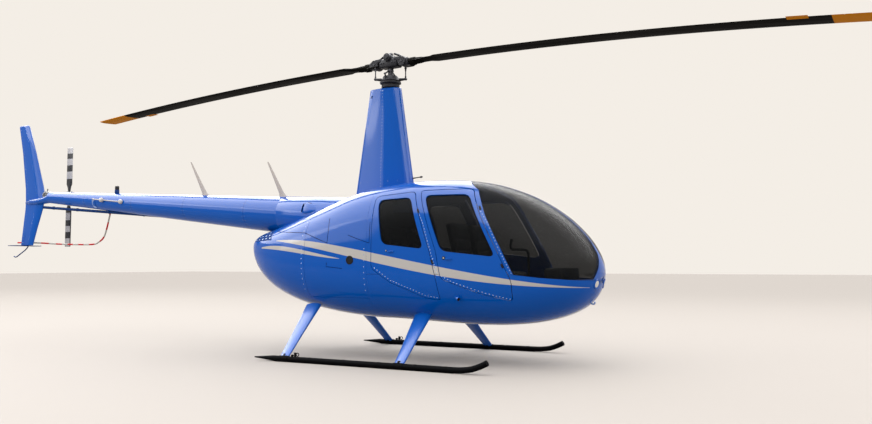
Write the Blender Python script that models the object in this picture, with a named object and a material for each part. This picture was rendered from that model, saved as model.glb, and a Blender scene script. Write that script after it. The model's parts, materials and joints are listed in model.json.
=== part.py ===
"""A light four-seat helicopter with a two-blade teetering rotor, parked on its skids.

Metres. X runs forward, Y to port and Z up. Every size below is measured from the centre line
of the rotor mast; the datum empty at the end puts the origin under the middle of the model.
"""

import math

import bmesh
import bpy
import numpy as np
from mathutils import Vector

for thing in list(bpy.data.objects):
    bpy.data.objects.remove(thing)

# Fits between the pieces
SEAT = 0.0003
DOOR_GAP = 0.008
FLAT = math.radians(0.01)
DATUM_X = 0.7119

# The body: one row for each section, x is where it stands
# x, top, bottom, half width, height of the widest line, upper and lower roundness
BODY = (
    (-1.790, 1.215, 1.185, 0.020, 1.200, 2.0, 2.0),
    (-1.775, 1.275, 1.070, 0.140, 1.200, 2.0, 2.0),
    (-1.720, 1.335, 0.940, 0.250, 1.195, 2.1, 2.0),
    (-1.600, 1.378, 0.808, 0.350, 1.180, 2.2, 2.1),
    (-1.370, 1.435, 0.670, 0.460, 1.140, 2.3, 2.2),
    (-1.020, 1.540, 0.552, 0.555, 1.080, 2.5, 2.4),
    (-0.600, 1.675, 0.468, 0.615, 1.030, 2.8, 2.5),
    (-0.150, 1.800, 0.422, 0.640, 1.000, 3.2, 2.6),
    (0.350, 1.860, 0.405, 0.645, 0.980, 3.6, 2.6),
    (0.800, 1.866, 0.385, 0.645, 0.960, 3.6, 2.6),
    (1.150, 1.840, 0.375, 0.645, 0.940, 3.3, 2.5),
    (1.450, 1.768, 0.380, 0.635, 0.930, 3.0, 2.5),
    (1.750, 1.645, 0.410, 0.600, 0.920, 2.6, 2.4),
    (2.020, 1.475, 0.475, 0.520, 0.915, 2.4, 2.3),
    (2.220, 1.290, 0.570, 0.400, 0.912, 2.2, 2.2),
    (2.340, 1.120, 0.690, 0.255, 0.912, 2.1, 2.0),
    (2.390, 0.990, 0.830, 0.110, 0.912, 2.0, 2.0),
    (2.400, 0.930, 0.895, 0.015, 0.912, 2.0, 2.0),
)
LONG_BAY = 0.25
RING_POINTS = 24
WALL = 0.040
LIP = 0.006
PAN_INSET = 0.045
GLASS_DEPTH = 0.012
GLASS = 0.006
BOW_HALF_WIDTH = 0.016
BOW_DEPTH = 0.025

# Where the body's panels meet, seen from the side: (x, z)
FIREWALL_X = 0.100
FIREWALL_THICK = 0.030
COWL_JOINT_X = -0.720
BELLY_COWL_TOP = 0.640
WAIST = ((1.709, 0.890), (1.954, 0.863), (2.200, 0.844), (2.600, 0.820))
WINDSHIELD_EDGE = (
    (1.000, 1.911),
    (1.283, 1.724),
    (1.342, 1.616),
    (1.412, 1.464),
    (1.583, 1.144),
)
FRONT_DOOR = (
    (0.672, 1.740),
    (0.900, 1.120),
    (0.955, 0.846),
    (1.168, 0.771),
    (1.400, 0.697),
    (1.690, 0.635),
    (1.692, 0.830),
    (1.540, 1.140),
    (1.372, 1.450),
    (1.235, 1.742),
)
REAR_DOOR = (
    (0.155, 1.697),
    (0.155, 0.950),
    (0.381, 0.801),
    (0.572, 0.733),
    (0.763, 0.656),
    (0.942, 0.630),
    (0.905, 0.850),
    (0.830, 1.140),
    (0.618, 1.732),
)
FRONT_WINDOW = ((0.738, 1.687), (0.957, 1.120), (1.535, 1.059), (1.211, 1.683))
REAR_WINDOW = ((0.200, 1.655), (0.279, 1.196), (0.767, 1.141), (0.583, 1.672))
WINDOW_CORNER = 0.070
GRILLE = ((-1.285, 1.262), (-1.330, 1.390), (-1.370, 1.600), (-2.000, 1.600), (-2.000, 1.232))

# Door hinges: a point on each axis, how far the axis runs back and in for each metre up,
# and the heights of its two hinges
# name, x, distance from the middle, height, run back, run in, hinges
DOOR_HINGES = {
    "front": (1.328, 0.592, 1.535, 0.515, 0.098, (1.500, 0.990)),
    "rear": (0.689, 0.628, 1.523, 0.331, 0.063, (1.480, 1.000)),
}
KNUCKLE_R = 0.010
KNUCKLE_LENGTH = 0.036
KNUCKLE_ARM = 0.026
KNUCKLE_STEP = 0.007

# Cabin
FLOOR_TOP = 0.530
FLOOR_THICK = 0.025
FLOOR_FRONT_X = 2.020
REAR_BASE = (0.1303, 0.560, 0.760)
FRONT_BASE = (0.860, 1.300, 0.800)
SEAT_HALF_WIDTH = 0.215
SEAT_Y = 0.245
CUSHION = 0.110
CUSHION_LENGTH = 0.470
BACK_THICK = 0.095
BACK_RAKE = 0.20

# Mast, boom and tail
MAST_TOP = 2.950
MAST_X = -0.055
# height, half chord, half width
MAST_LEVELS = ((1.550, 0.396, 0.153), (MAST_TOP, 0.190, 0.085))
# Half of the fairing's section from nose to tail: shares of the half chord and of the half width
MAST_RING = (
    (1.00, 0.00),
    (0.98, 0.22),
    (0.90, 0.48),
    (0.76, 0.70),
    (0.56, 0.88),
    (0.30, 0.98),
    (0.04, 1.00),
    (-0.25, 0.93),
    (-0.86, 0.60),
    (-0.95, 0.46),
    (-0.99, 0.22),
    (-1.00, 0.00),
)
BOOM_START = (-1.420, 1.572, 0.221)
BOOM_END = (-5.660, 1.945, 0.080)
BOOM_SIDES = 20
BOOM_WALL = 0.010
FIN_PLANE = 1.890
# The block that joins boom, gearbox and fins: x, height, half width, half height
JOINT_STATIONS = (
    (BOOM_END[0] - SEAT, 1.940, 0.078, 0.070),
    (-5.760, 1.915, 0.074, 0.050),
    (-5.900, 1.900, 0.070, 0.048),
    (-6.080, 1.893, 0.050, 0.040),
    (-6.215, 1.890, 0.012, 0.012),
)
# front, rear, height, half thickness
UPPER_FIN = (
    (-5.775, -6.219, 1.880, 0.030),
    (-5.830, -6.232, 2.100, 0.030),
    (-6.020, -6.318, 2.620, 0.024),
    (-6.180, -6.413, 3.020, 0.016),
    (-6.215, -6.405, 3.038, 0.006),
)
LOWER_FIN = (
    (-6.030, -6.297, 1.266, 0.018),
    (-5.940, -6.262, 1.520, 0.024),
    (-5.835, -6.225, 1.790, 0.028),
    (-5.810, -6.221, 1.880, 0.028),
)
FIN_FOOT = 0.5
FIN_PLATE = ((-6.300, -0.205, 1.256), (-6.120, 0.205, 1.2657))
TAIL_SKID_R = 0.008
TAIL_SKID_PATH = (
    (-6.140, 0, 1.2557),
    (-6.140, 0, 1.245),
    (-6.203, 0, 1.196),
    (-6.313, 0, 1.139),
    (-6.375, 0, 1.105),
    (-6.410, 0, 1.098),
    (-6.450, 0, 1.110),
)
GUARD_R = 0.011
GUARD_PATH = (
    (-4.545, 0.055, 1.790),
    (-4.595, 0.128, 1.700),
    (-4.645, 0.150, 1.600),
    (-4.705, 0.170, 1.480),
    (-4.775, 0.185, 1.370),
    (-4.885, 0.195, 1.305),
    (-5.050, 0.200, 1.272),
    (-5.700, 0.200, 1.285),
    (-5.950, 0.110, 1.300),
    (-6.158, 0.029, 1.308),
    (-6.410, 0.030, 1.310),
)
TAIL_ROTOR = (-5.750, 0.370, 1.987)
TAIL_ROTOR_R = 0.737
TAIL_ROTOR_CHORD = 0.125
GEARBOX_R = 0.052

# Main rotor
HUB_Z = 3.227
ROTOR_R = 5.030
BLADE_CHORD = 0.262
BLADE_THICK = 0.030
# how far each tip hangs below the hub, as the rotor rests
BLADE_DROOP = {"front": 0.270, "rear": 0.190}
PARKED_ANGLE = -0.080
ROTOR_STATIONS = 9
LINK_X = 0.150
LINK_Y = 0.080
LINK_TOP = 3.189
HORN_R = 0.010

# Landing gear
SKID_Y = 1.045
SKID_R = 0.028
SKID_Z = 0.031
SKID_REAR_X = -1.005
SKID_TAPER_X = -0.760
SKID_TAIL_R = 0.005
# x and height of the upturned front
SKID_FRONT = ((1.340, SKID_Z), (1.440, 0.040), (1.530, 0.064), (1.590, 0.089), (1.635, 0.112))
SHOE = (-0.740, 1.300, 0.016, 0.020)
LUG = (-0.520, -0.450, 0.012, 0.100)
# name, x at the skid, x and height at the belly
LEGS = (("front", 0.722, 0.668, 0.440), ("rear", -0.626, -0.694, 0.500))
LEG_KNEE_Y = 0.495
LEG_FOOT_RISE = 0.010
# share of the way from foot to knee, half chord, half thickness
LEG_RINGS = ((0, 0.056, 0.024), (0.5, 0.068, 0.026), (1, 0.090, 0.032), (1.22, 0.100, 0.036))


def material(name, colour, roughness, metallic=0.0, alpha=1.0):
    made = bpy.data.materials.new(name)
    made.use_nodes = True
    shader = made.node_tree.nodes["Principled BSDF"]
    shader.inputs["Base Color"].default_value = (*colour, 1.0)
    shader.inputs["Roughness"].default_value = roughness
    shader.inputs["Metallic"].default_value = metallic
    shader.inputs["Alpha"].default_value = alpha
    return made


BLUE = material("blue_paint", (0.005, 0.085, 0.46), 0.18)
BLACK = material("black_paint", (0.012, 0.012, 0.014), 0.35)
TINTED = material("tinted_glass", (0.03, 0.035, 0.04), 0.05, alpha=0.45)
TRIM = material("dark_trim", (0.03, 0.03, 0.035), 0.6)
SEAT_CLOTH = material("seat_leather", (0.02, 0.02, 0.022), 0.55)
STEEL = material("steel", (0.35, 0.35, 0.36), 0.35, 1.0)
GREY = material("grey_paint", (0.42, 0.41, 0.40), 0.4)
RED = material("red_paint", (0.45, 0.02, 0.02), 0.4)
ENGINE_GREY = material("engine_grey", (0.15, 0.15, 0.15), 0.5, 0.6)


def new_object(name, verts, faces, finish, smooth=40):
    mesh = bpy.data.meshes.new(name)
    mesh.from_pydata([tuple(v) for v in verts], [], [tuple(f) for f in faces])
    work = bmesh.new()
    work.from_mesh(mesh)
    bmesh.ops.recalc_face_normals(work, faces=work.faces)
    work.to_mesh(mesh)
    work.free()
    mesh.materials.append(finish)
    mesh.shade_smooth()
    mesh.set_sharp_from_angle(angle=math.radians(smooth))
    made = bpy.data.objects.new(name, mesh)
    bpy.context.collection.objects.link(made)
    return made


def combine(target, tool, operation, keep_tool=False):
    """Applies one exact Boolean to the target and removes the tool."""
    step = target.modifiers.new(operation.lower(), "BOOLEAN")
    step.operation = operation
    step.object = tool
    bpy.context.view_layer.update()
    graph = bpy.context.evaluated_depsgraph_get()
    result = bpy.data.meshes.new_from_object(target.evaluated_get(graph))
    target.modifiers.clear()
    target.data = result
    if not keep_tool:
        bpy.data.objects.remove(tool)
    return target


def weld(target):
    """Merges the slivers that a cut leaves and shades what is round as smooth."""
    work = bmesh.new()
    work.from_mesh(target.data)
    bmesh.ops.remove_doubles(work, verts=work.verts, dist=0.00002)
    bmesh.ops.dissolve_degenerate(work, edges=work.edges, dist=0.00002)
    bmesh.ops.dissolve_limit(work, angle_limit=FLAT, verts=work.verts, edges=work.edges)
    work.to_mesh(target.data)
    work.free()
    target.data.shade_smooth()
    target.data.set_sharp_from_angle(angle=math.radians(35))
    return target


def loft(name, rings, finish, smooth=40):
    """A closed solid through rings of equal length, with flat ends."""
    count = len(rings[0])
    verts = [point for ring in rings for point in ring]
    faces = [list(range(count))[::-1]]
    for row in range(len(rings) - 1):
        for k in range(count):
            after = (k + 1) % count
            low, high = row * count, (row + 1) * count
            faces.append((low + k, low + after, high + after))
            faces.append((low + k, high + after, high + k))
    last = (len(rings) - 1) * count
    faces.append([last + k for k in range(count)])
    return new_object(name, verts, faces, finish, smooth)


def box(name, low, high, finish):
    corners = [(low[0], high[0]), (low[1], high[1]), (low[2], high[2])]
    rings = []
    for z in corners[2]:
        ring = [(corners[0][0], corners[1][0], z), (corners[0][1], corners[1][0], z)]
        ring += [(corners[0][1], corners[1][1], z), (corners[0][0], corners[1][1], z)]
        rings.append(ring)
    return loft(name, rings, finish)


def side_prism(name, outline, low_y, high_y, finish=TRIM):
    """An outline drawn in the side view, run across the body from low_y to high_y."""
    rings = [[(x, y, z) for x, z in outline] for y in (low_y, high_y)]
    return loft(name, rings, finish)


def ellipse(centre, half_u, half_v, u, v, sides, power=2.0, turn=0.0):
    """Points round an ellipse, or a squarer oval with a power over 2."""
    ring = []
    for k in range(sides):
        angle = 2 * math.pi * k / sides + turn
        c, s = math.cos(angle), math.sin(angle)
        a = half_u * math.copysign(abs(c) ** (2 / power), c)
        b = half_v * math.copysign(abs(s) ** (2 / power), s)
        ring.append(Vector(centre) + a * Vector(u) + b * Vector(v))
    return ring


def tube(name, path, radius, finish, sides=12, smooth=50):
    """A round bar along a path of points, mitred at each point."""
    points = [Vector(p) for p in path]
    radii = radius if isinstance(radius, (list, tuple)) else [radius] * len(points)
    side = None
    rings = []
    for i, point in enumerate(points):
        before = points[max(i - 1, 0)]
        after = points[min(i + 1, len(points) - 1)]
        along = (after - before).normalized()
        if side is None:
            side = along.orthogonal().normalized()
        side = (side - along * side.dot(along)).normalized()
        other = along.cross(side)
        rings.append(ellipse(point, radii[i], radii[i], side, other, sides))
    return loft(name, rings, finish, smooth)


def smooth_path(points, steps):
    """Points on one smooth curve through the given ones."""
    known = [Vector(p) for p in points]
    out = []
    for i in range(len(known) - 1):
        a, b = known[max(i - 1, 0)], known[i]
        c, d = known[i + 1], known[min(i + 2, len(known) - 1)]
        for k in range(steps):
            t = k / steps
            cubic = (-a + 3 * b - 3 * c + d) * t**3
            out.append(0.5 * (2 * b + (c - a) * t + (2 * a - 5 * b + 4 * c - d) * t**2 + cubic))
    out.append(known[-1])
    return out


def area_sign(outline):
    total = 0.0
    for (x0, z0), (x1, z1) in zip(outline, outline[1:] + outline[:1]):
        total += x0 * z1 - x1 * z0
    return 1.0 if total > 0 else -1.0


def inset(outline, distance):
    """The same outline moved inwards by a distance, or outwards if it is negative."""
    outline = [tuple(p) for p in outline]
    sign = area_sign(outline)
    out = []
    for i, here in enumerate(outline):
        before, after = outline[i - 1], outline[(i + 1) % len(outline)]
        e0 = np.subtract(here, before) / np.linalg.norm(np.subtract(here, before))
        e1 = np.subtract(after, here) / np.linalg.norm(np.subtract(after, here))
        n0 = np.array((-e0[1], e0[0])) * sign
        n1 = np.array((-e1[1], e1[0])) * sign
        mitre = (n0 + n1) / (1 + n0 @ n1)
        out.append(tuple(np.array(here) + mitre * distance))
    return out


def rounded(outline, radius, steps=3):
    """The outline with each sharp corner turned into a round one."""
    outline = [np.array(p) for p in outline]
    out = []
    for i, here in enumerate(outline):
        before, after = outline[i - 1], outline[(i + 1) % len(outline)]
        to_before, to_after = before - here, after - here
        turn = (to_before @ to_after) / np.linalg.norm(to_before) / np.linalg.norm(to_after)
        if turn < -0.94:
            out.append(tuple(here))
            continue
        reach = min(radius, 0.45 * min(np.linalg.norm(to_before), np.linalg.norm(to_after)))
        start = here + to_before / np.linalg.norm(to_before) * reach
        end = here + to_after / np.linalg.norm(to_after) * reach
        for k in range(steps + 1):
            t = k / steps
            out.append(tuple((1 - t) ** 2 * start + 2 * t * (1 - t) * here + t * t * end))
    return out


def body_sections():
    """The body's sections with smooth ones between those of the table."""
    table = np.array(BODY)
    rows = []
    for i in range(len(table) - 1):
        a, b = table[max(i - 1, 0)], table[i]
        c, d = table[i + 1], table[min(i + 2, len(table) - 1)]
        steps = 2 if c[0] - b[0] > LONG_BAY else 1
        for k in range(steps):
            t = k / steps
            cubic = (-a + 3 * b - 3 * c + d) * t**3
            rows.append(0.5 * (2 * b + (c - a) * t + (2 * a - 5 * b + 4 * c - d) * t**2 + cubic))
    rows.append(table[-1])
    return rows


def body_grid():
    """The skin's points and outward directions, by section and by place round it."""
    grid = []
    for x, top, bottom, half, widest, upper, lower in body_sections():
        ring = []
        for k in range(RING_POINTS):
            angle = 2 * math.pi * k / RING_POINTS
            c, s = math.cos(angle), math.sin(angle)
            power = upper if s >= 0 else lower
            height = top - widest if s >= 0 else widest - bottom
            y = half * math.copysign(abs(c) ** (2 / power), c)
            ring.append((x, y, widest + height * math.copysign(abs(s) ** (2 / power), s)))
        grid.append(ring)
    grid = np.array(grid)
    along = np.gradient(grid, axis=0)
    around = np.roll(grid, -1, axis=1) - np.roll(grid, 1, axis=1)
    normal = np.cross(around, along)
    normal /= np.linalg.norm(normal, axis=2, keepdims=True)
    return grid, normal


SKIN, OUTWARD = body_grid()


def body_solid(name, depth, finish=BLUE):
    """The whole body as a solid, its skin moved inwards by a depth."""
    return loft(name, (SKIN - OUTWARD * depth).tolist(), finish)


def body_shell(name, outer, inner, finish=BLUE):
    """A hollow skin between two depths."""
    shell = body_solid(name, outer, finish)
    return combine(shell, body_solid("hollow", inner), "DIFFERENCE")


FAR = 3.0
WAIST_LINE = [(-3.0, WAIST[0][1])] + list(WAIST)
BELOW_WAIST = WAIST_LINE + [(FAR, WAIST[-1][1]), (FAR, -FAR), (-FAR, -FAR)]
ABOVE_WAIST = WAIST_LINE + [(FAR, WAIST[-1][1]), (FAR, FAR), (-FAR, FAR)]
ABOVE_WAIST = [(x, z + SEAT if z < FAR else z) for x, z in ABOVE_WAIST]
WINDSHIELD = list(WINDSHIELD_EDGE) + [(WAIST[0][0], WAIST[0][1])] + list(WAIST[1:])
WINDSHIELD += [(FAR, WAIST[-1][1]), (FAR, FAR), (WINDSHIELD_EDGE[0][0], FAR)]


def cabin_panels():
    """The lower skin with the nose, and the frame of posts and roof over it."""
    doors = {"front": rounded(FRONT_DOOR, 0.05), "rear": rounded(REAR_DOOR, 0.05)}
    lower = body_shell("cabin_lower_skin", 0.0, WALL)
    combine(lower, side_prism("region", BELOW_WAIST, -FAR, FAR), "INTERSECT")
    frame = body_shell("cabin_frame", 0.0, WALL)
    combine(frame, side_prism("region", ABOVE_WAIST, -FAR, FAR), "INTERSECT")
    for piece in (lower, frame):
        cabin = box("region", (FIREWALL_X, -FAR, -FAR), (FAR, FAR, FAR), TRIM)
        combine(piece, cabin, "INTERSECT")
        for outline in doors.values():
            combine(piece, side_prism("door", outline, -FAR, FAR), "DIFFERENCE")
    combine(frame, side_prism("glazing", WINDSHIELD, -FAR, FAR), "DIFFERENCE")
    for end in DOOR_HINGES:
        for sign in (-1, 1):
            add_knuckles(frame, end, sign, 1)
    return weld(lower), weld(frame)


def add_knuckles(piece, end, sign, part):
    """Half of each hinge: a barrel on the axis, with an arm that runs into the panel.

    The frame's half (part 1) is the upper one and reaches forward, the door's (part -1) back.
    """
    x, y, z, back, inwards, hinges = DOOR_HINGES[end]
    along = Vector((-back, -sign * inwards, 1)).normalized()
    for hinge in hinges:
        rise = hinge - z
        middle = Vector((x - back * rise, sign * (y - inwards * rise), hinge))
        start = middle + along * part * SEAT / 2
        stop = start + along * part * KNUCKLE_LENGTH / 2
        barrel = tube("barrel", [start, stop], KNUCKLE_R, STEEL, 8)
        reach = Vector((KNUCKLE_ARM * part, -sign * 0.030, 0))
        half_thick = Vector((0, 0.005, 0))
        rings = []
        for level in (start + along * part * KNUCKLE_STEP, stop - along * part * SEAT):
            far = level + reach
            rings.append([level - half_thick, far - half_thick, far + half_thick, level + half_thick])
        combine(barrel, loft("arm", rings, STEEL), "UNION")
        combine(piece, barrel, "UNION")


def windshield():
    """Two bent panes, with the bow between them."""
    for side, sign in (("right", -1), ("left", 1)):
        pane = body_shell("windshield_" + side, 0.0, GLASS, TINTED)
        cut = inset(WINDSHIELD, SEAT)
        ends = sorted((sign * (BOW_HALF_WIDTH + SEAT), sign * FAR))
        weld(combine(pane, side_prism("region", cut, *ends), "INTERSECT"))
    bow = body_shell("windshield_bow", 0.0, BOW_DEPTH)
    cut = inset(WINDSHIELD, SEAT)
    weld(combine(bow, side_prism("region", cut, -BOW_HALF_WIDTH, BOW_HALF_WIDTH), "INTERSECT"))


def door(end, side, outline, window):
    """A door: a thin lip that fills the seam, a deeper pan behind it, and its pane."""
    sign = -1 if side == "right" else 1
    ends = sorted((0.0, sign * FAR))
    seam = rounded(outline, 0.05)
    name = f"{end}_door_{side}"
    made = body_shell(name, 0.0, LIP)
    combine(made, side_prism("region", inset(seam, DOOR_GAP), *ends), "INTERSECT")
    pan = body_shell("pan", LIP - 0.0002, WALL)
    smaller = rounded(inset(outline, DOOR_GAP + PAN_INSET), 0.05)
    combine(pan, side_prism("region", smaller, *ends), "INTERSECT")
    combine(made, pan, "UNION")
    hole = rounded(window, WINDOW_CORNER)
    combine(made, side_prism("window", hole, *ends), "DIFFERENCE")
    add_knuckles(made, end, sign, -1)
    weld(made)
    glass = body_shell(f"{end}_door_glass_{side}", GLASS_DEPTH, GLASS_DEPTH + GLASS, TINTED)
    weld(combine(glass, side_prism("region", inset(hole, SEAT), *ends), "INTERSECT"))


def rear_body():
    """Cowls round the engine, the closed tail of the body and its grille."""
    sections = (
        ("engine_cowl_right", (COWL_JOINT_X, -FAR, BELLY_COWL_TOP), (FIREWALL_X - SEAT, 0, FAR)),
        ("engine_cowl_left", (COWL_JOINT_X, SEAT, BELLY_COWL_TOP), (FIREWALL_X - SEAT, FAR, FAR)),
        ("belly_cowl", (COWL_JOINT_X, -FAR, -FAR), (FIREWALL_X - SEAT, FAR, BELLY_COWL_TOP - SEAT)),
        ("tail_cowl", (-FAR, -FAR, -FAR), (COWL_JOINT_X - SEAT, FAR, FAR)),
    )
    for name, low, high in sections:
        piece = body_shell(name, 0.0, WALL)
        combine(piece, box("region", low, high, TRIM), "INTERSECT")
        if name == "tail_cowl":
            opening = side_prism("opening", inset(GRILLE, -SEAT), -FAR, FAR)
            combine(piece, opening, "DIFFERENCE")
        weld(piece)
    grille = body_shell("rear_grille", 0.0, WALL)
    weld(combine(grille, side_prism("region", GRILLE, -FAR, FAR), "INTERSECT"))


def inside(name, low, high, finish):
    """A block that fills the cabin's width, held off the walls by the fit."""
    piece = body_solid(name, WALL + SEAT, finish)
    return weld(combine(piece, box("region", low, high, TRIM), "INTERSECT"))


def cabin_inside():
    low, high = (FIREWALL_X, -FAR, -FAR), (FIREWALL_X + FIREWALL_THICK, FAR, FAR)
    inside("firewall", low, high, TRIM)
    front = FIREWALL_X + FIREWALL_THICK + SEAT
    low, high = (front, -FAR, FLOOR_TOP - FLOOR_THICK), (FLOOR_FRONT_X, FAR, FLOOR_TOP)
    inside("cabin_floor", low, high, TRIM)
    for name, (rear_x, front_x, top) in (
        ("rear_seat_base", REAR_BASE),
        ("front_seat_base", FRONT_BASE),
    ):
        low = (max(rear_x, front), -0.52, FLOOR_TOP + SEAT)
        inside(name, low, (front_x, 0.52, top), TRIM)
    for row, (rear_x, front_x, top), back_top in (
        ("rear", REAR_BASE, 1.400),
        ("front", FRONT_BASE, 1.430),
    ):
        for side, sign in (("right", -1), ("left", 1)):
            start = rear_x + (0.012 if row == "rear" else 0.030)
            seat = seat_solid(f"{row}_seat_{side}", start, top + SEAT, back_top)
            seat.location = (0, sign * SEAT_Y, 0)
    console()
    cyclic()


def seat_solid(name, rear_x, base, back_top):
    """A cushion and a raked back, as one plain solid."""
    rise = back_top - base
    lean = BACK_RAKE * rise
    foot = rear_x + lean
    outline = [
        (foot, base),
        (foot + CUSHION_LENGTH, base),
        (foot + CUSHION_LENGTH + 0.015, base + CUSHION),
        (foot + BACK_THICK + 0.020, base + CUSHION - 0.015),
        (rear_x + BACK_THICK, back_top),
        (rear_x, back_top),
    ]
    outline = rounded(outline, 0.025, 2)
    return side_prism(name, outline, -SEAT_HALF_WIDTH, SEAT_HALF_WIDTH, SEAT_CLOTH)


def console():
    """The pedestal between the pilots' feet, with the instrument head on top."""
    low, high = (1.860, -0.130, FLOOR_TOP + SEAT), (2.015, 0.130, 0.790)
    pedestal = box("instrument_console", low, high, BLACK)
    outline = [(1.850, 0.740), (2.060, 0.740), (2.110, 0.860), (2.060, 0.935), (1.870, 0.955)]
    head = side_prism("head", rounded(outline, 0.02, 2), -0.260, 0.260, BLACK)
    combine(pedestal, head, "UNION")


def cyclic():
    """The control stick: a post from the floor, a bar to the pilot's side and its grip."""
    corner = [(1.630, 0, 1.090), (1.628, -0.030, 1.125), (1.620, -0.070, 1.135)]
    path = [(1.640, 0, FLOOR_TOP + SEAT), (1.640, 0, 0.580), *corner, (1.600, -0.350, 1.135)]
    path += [(1.598, -0.385, 1.145), (1.600, -0.400, 1.170), (1.615, -0.400, 1.235)]
    tube("cyclic_stick", path, 0.013, BLACK, 10)


def engine():
    """The engine as one plain block, bolted to the back of the firewall."""
    box("engine_block", (-0.700, -0.400, 0.700), (FIREWALL_X - SEAT, 0.400, 1.120), ENGINE_GREY)


def mast_solid(name, grow=0.0):
    """The tall fairing round the mast, with flat sides that narrow aft, or a cutter a little larger."""
    port = MAST_RING[1:-1]
    starboard = [(along, -across) for along, across in reversed(port)]
    rings = []
    for z, half_chord, half_width in MAST_LEVELS:
        ring = []
        for along, across in (MAST_RING[0], *port, MAST_RING[-1], *starboard):
            y = across * half_width + (math.copysign(grow, across) if across else 0.0)
            ring.append(Vector((MAST_X + along * (half_chord + grow), y, z)))
        rings.append(ring)
    return loft(name, rings, BLUE, 60)


def mast_fairing():
    fairing = mast_solid("mast_fairing")
    combine(fairing, body_solid("cutter", -SEAT), "DIFFERENCE")
    weld(fairing)


def boom_ring(x, z, radius):
    return ellipse((x, 0, z), radius, radius, (0, 1, 0), (0, 0, 1), BOOM_SIDES)


def boom_at(x):
    """Height of the boom's middle and its radius at x."""
    share = (x - BOOM_START[0]) / (BOOM_END[0] - BOOM_START[0])
    height = BOOM_START[1] + share * (BOOM_END[1] - BOOM_START[1])
    return height, BOOM_START[2] + share * (BOOM_END[2] - BOOM_START[2])


def boom():
    """A hollow cone with a bulkhead at its rear end, open inside the root fairing in front."""
    cone = loft("tail_boom", [boom_ring(*BOOM_START), boom_ring(*BOOM_END)], BLUE, 60)
    rings = []
    for x in (BOOM_START[0] + 0.050, BOOM_END[0] + BOOM_WALL):
        z, radius = boom_at(x)
        rings.append(boom_ring(x, z, radius - BOOM_WALL))
    combine(cone, loft("cutter", rings, BLUE), "DIFFERENCE")
    rings = []
    for x in (-0.380, BOOM_START[0] + SEAT):
        z, radius = boom_at(x)
        rings.append(boom_ring(x, z, radius + 0.006))
    fairing = loft("boom_root_fairing", rings, BLUE, 60)
    combine(fairing, mast_solid("cutter", SEAT), "DIFFERENCE")
    combine(fairing, body_solid("cutter", -SEAT), "DIFFERENCE")
    weld(fairing)
    # The boom's front reaches over the tail cowl, which it clears by the fit
    combine(cone, body_solid("cutter", -SEAT), "DIFFERENCE")
    weld(cone)


def fin_ring(front, rear, z, half_thick):
    """An aerofoil-like ring between two x values."""
    middle, half = (front + rear) / 2, (front - rear) / 2
    return ellipse((middle, 0, z), half, half_thick, (1, 0, 0), (0, 1, 0), 16, 1.7)


def joint_rings(grow=0.0):
    """Rings of the block at the boom's end, or of a cutter that is larger by grow."""
    rings = []
    last = len(JOINT_STATIONS) - 1
    for i, (x, z, w, h) in enumerate(JOINT_STATIONS):
        x += grow if i == 0 else -grow if i == last else 0.0
        rings.append(ellipse((x, 0, z), w + grow, h + grow, (0, 1, 0), (0, 0, 1), 16))
    return rings


def fin_rings(levels, grow=0.0):
    """Rings of a fin, or of a cutter that is thicker by grow."""
    return [fin_ring(front + grow, rear - grow, z, half + grow) for front, rear, z, half in levels]


def tail():
    joint = loft("fin_joint_fairing", joint_rings(), BLUE, 50)
    x, y, z = TAIL_ROTOR
    gearbox = tube("tail_gearbox", [(x, -0.045, z), (x, 0.110, z)], GEARBOX_R, BLACK, 16)
    combine(gearbox, tube("neck", [(x, 0.105, z), (x, 0.240, z)], 0.024, BLACK, 12), "UNION")
    across = [(x, -0.200, z), (x, 0.300, z)]
    combine(joint, tube("cutter", across, GEARBOX_R + SEAT, BLACK, 16), "DIFFERENCE")
    weld(joint)
    for name, levels, low, high in (
        ("upper_fin", UPPER_FIN, FIN_PLANE, FAR),
        ("lower_fin", LOWER_FIN, FIN_FOOT, FIN_PLANE),
    ):
        fin = loft(name, fin_rings(levels), BLUE, 50)
        combine(fin, loft("cutter", joint_rings(2 * SEAT), BLACK), "DIFFERENCE")
        combine(fin, tube("cutter", across, GEARBOX_R + 2 * SEAT, BLACK, 16), "DIFFERENCE")
        combine(fin, box("region", (-7, -1, low), (-5, 1, high), TRIM), "INTERSECT")
        weld(fin)
    box("lower_fin_plate", *FIN_PLATE, BLACK)
    tube("tail_skid", TAIL_SKID_PATH, TAIL_SKID_R, BLACK, 8)


def tail_rotor_guard():
    """A bent bar from the boom, inboard of the tail rotor, to the foot of the lower fin."""
    guard = tube("tail_rotor_guard", smooth_path(GUARD_PATH, 2), GUARD_R, RED, 8)
    rings = []
    for x in (-4.40, -4.80):
        z, radius = boom_at(x)
        rings.append(boom_ring(x, z, radius + SEAT))
    combine(guard, loft("cutter", rings, BLUE), "DIFFERENCE")
    combine(guard, loft("cutter", fin_rings(LOWER_FIN, SEAT), BLUE), "DIFFERENCE")
    weld(guard)


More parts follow.
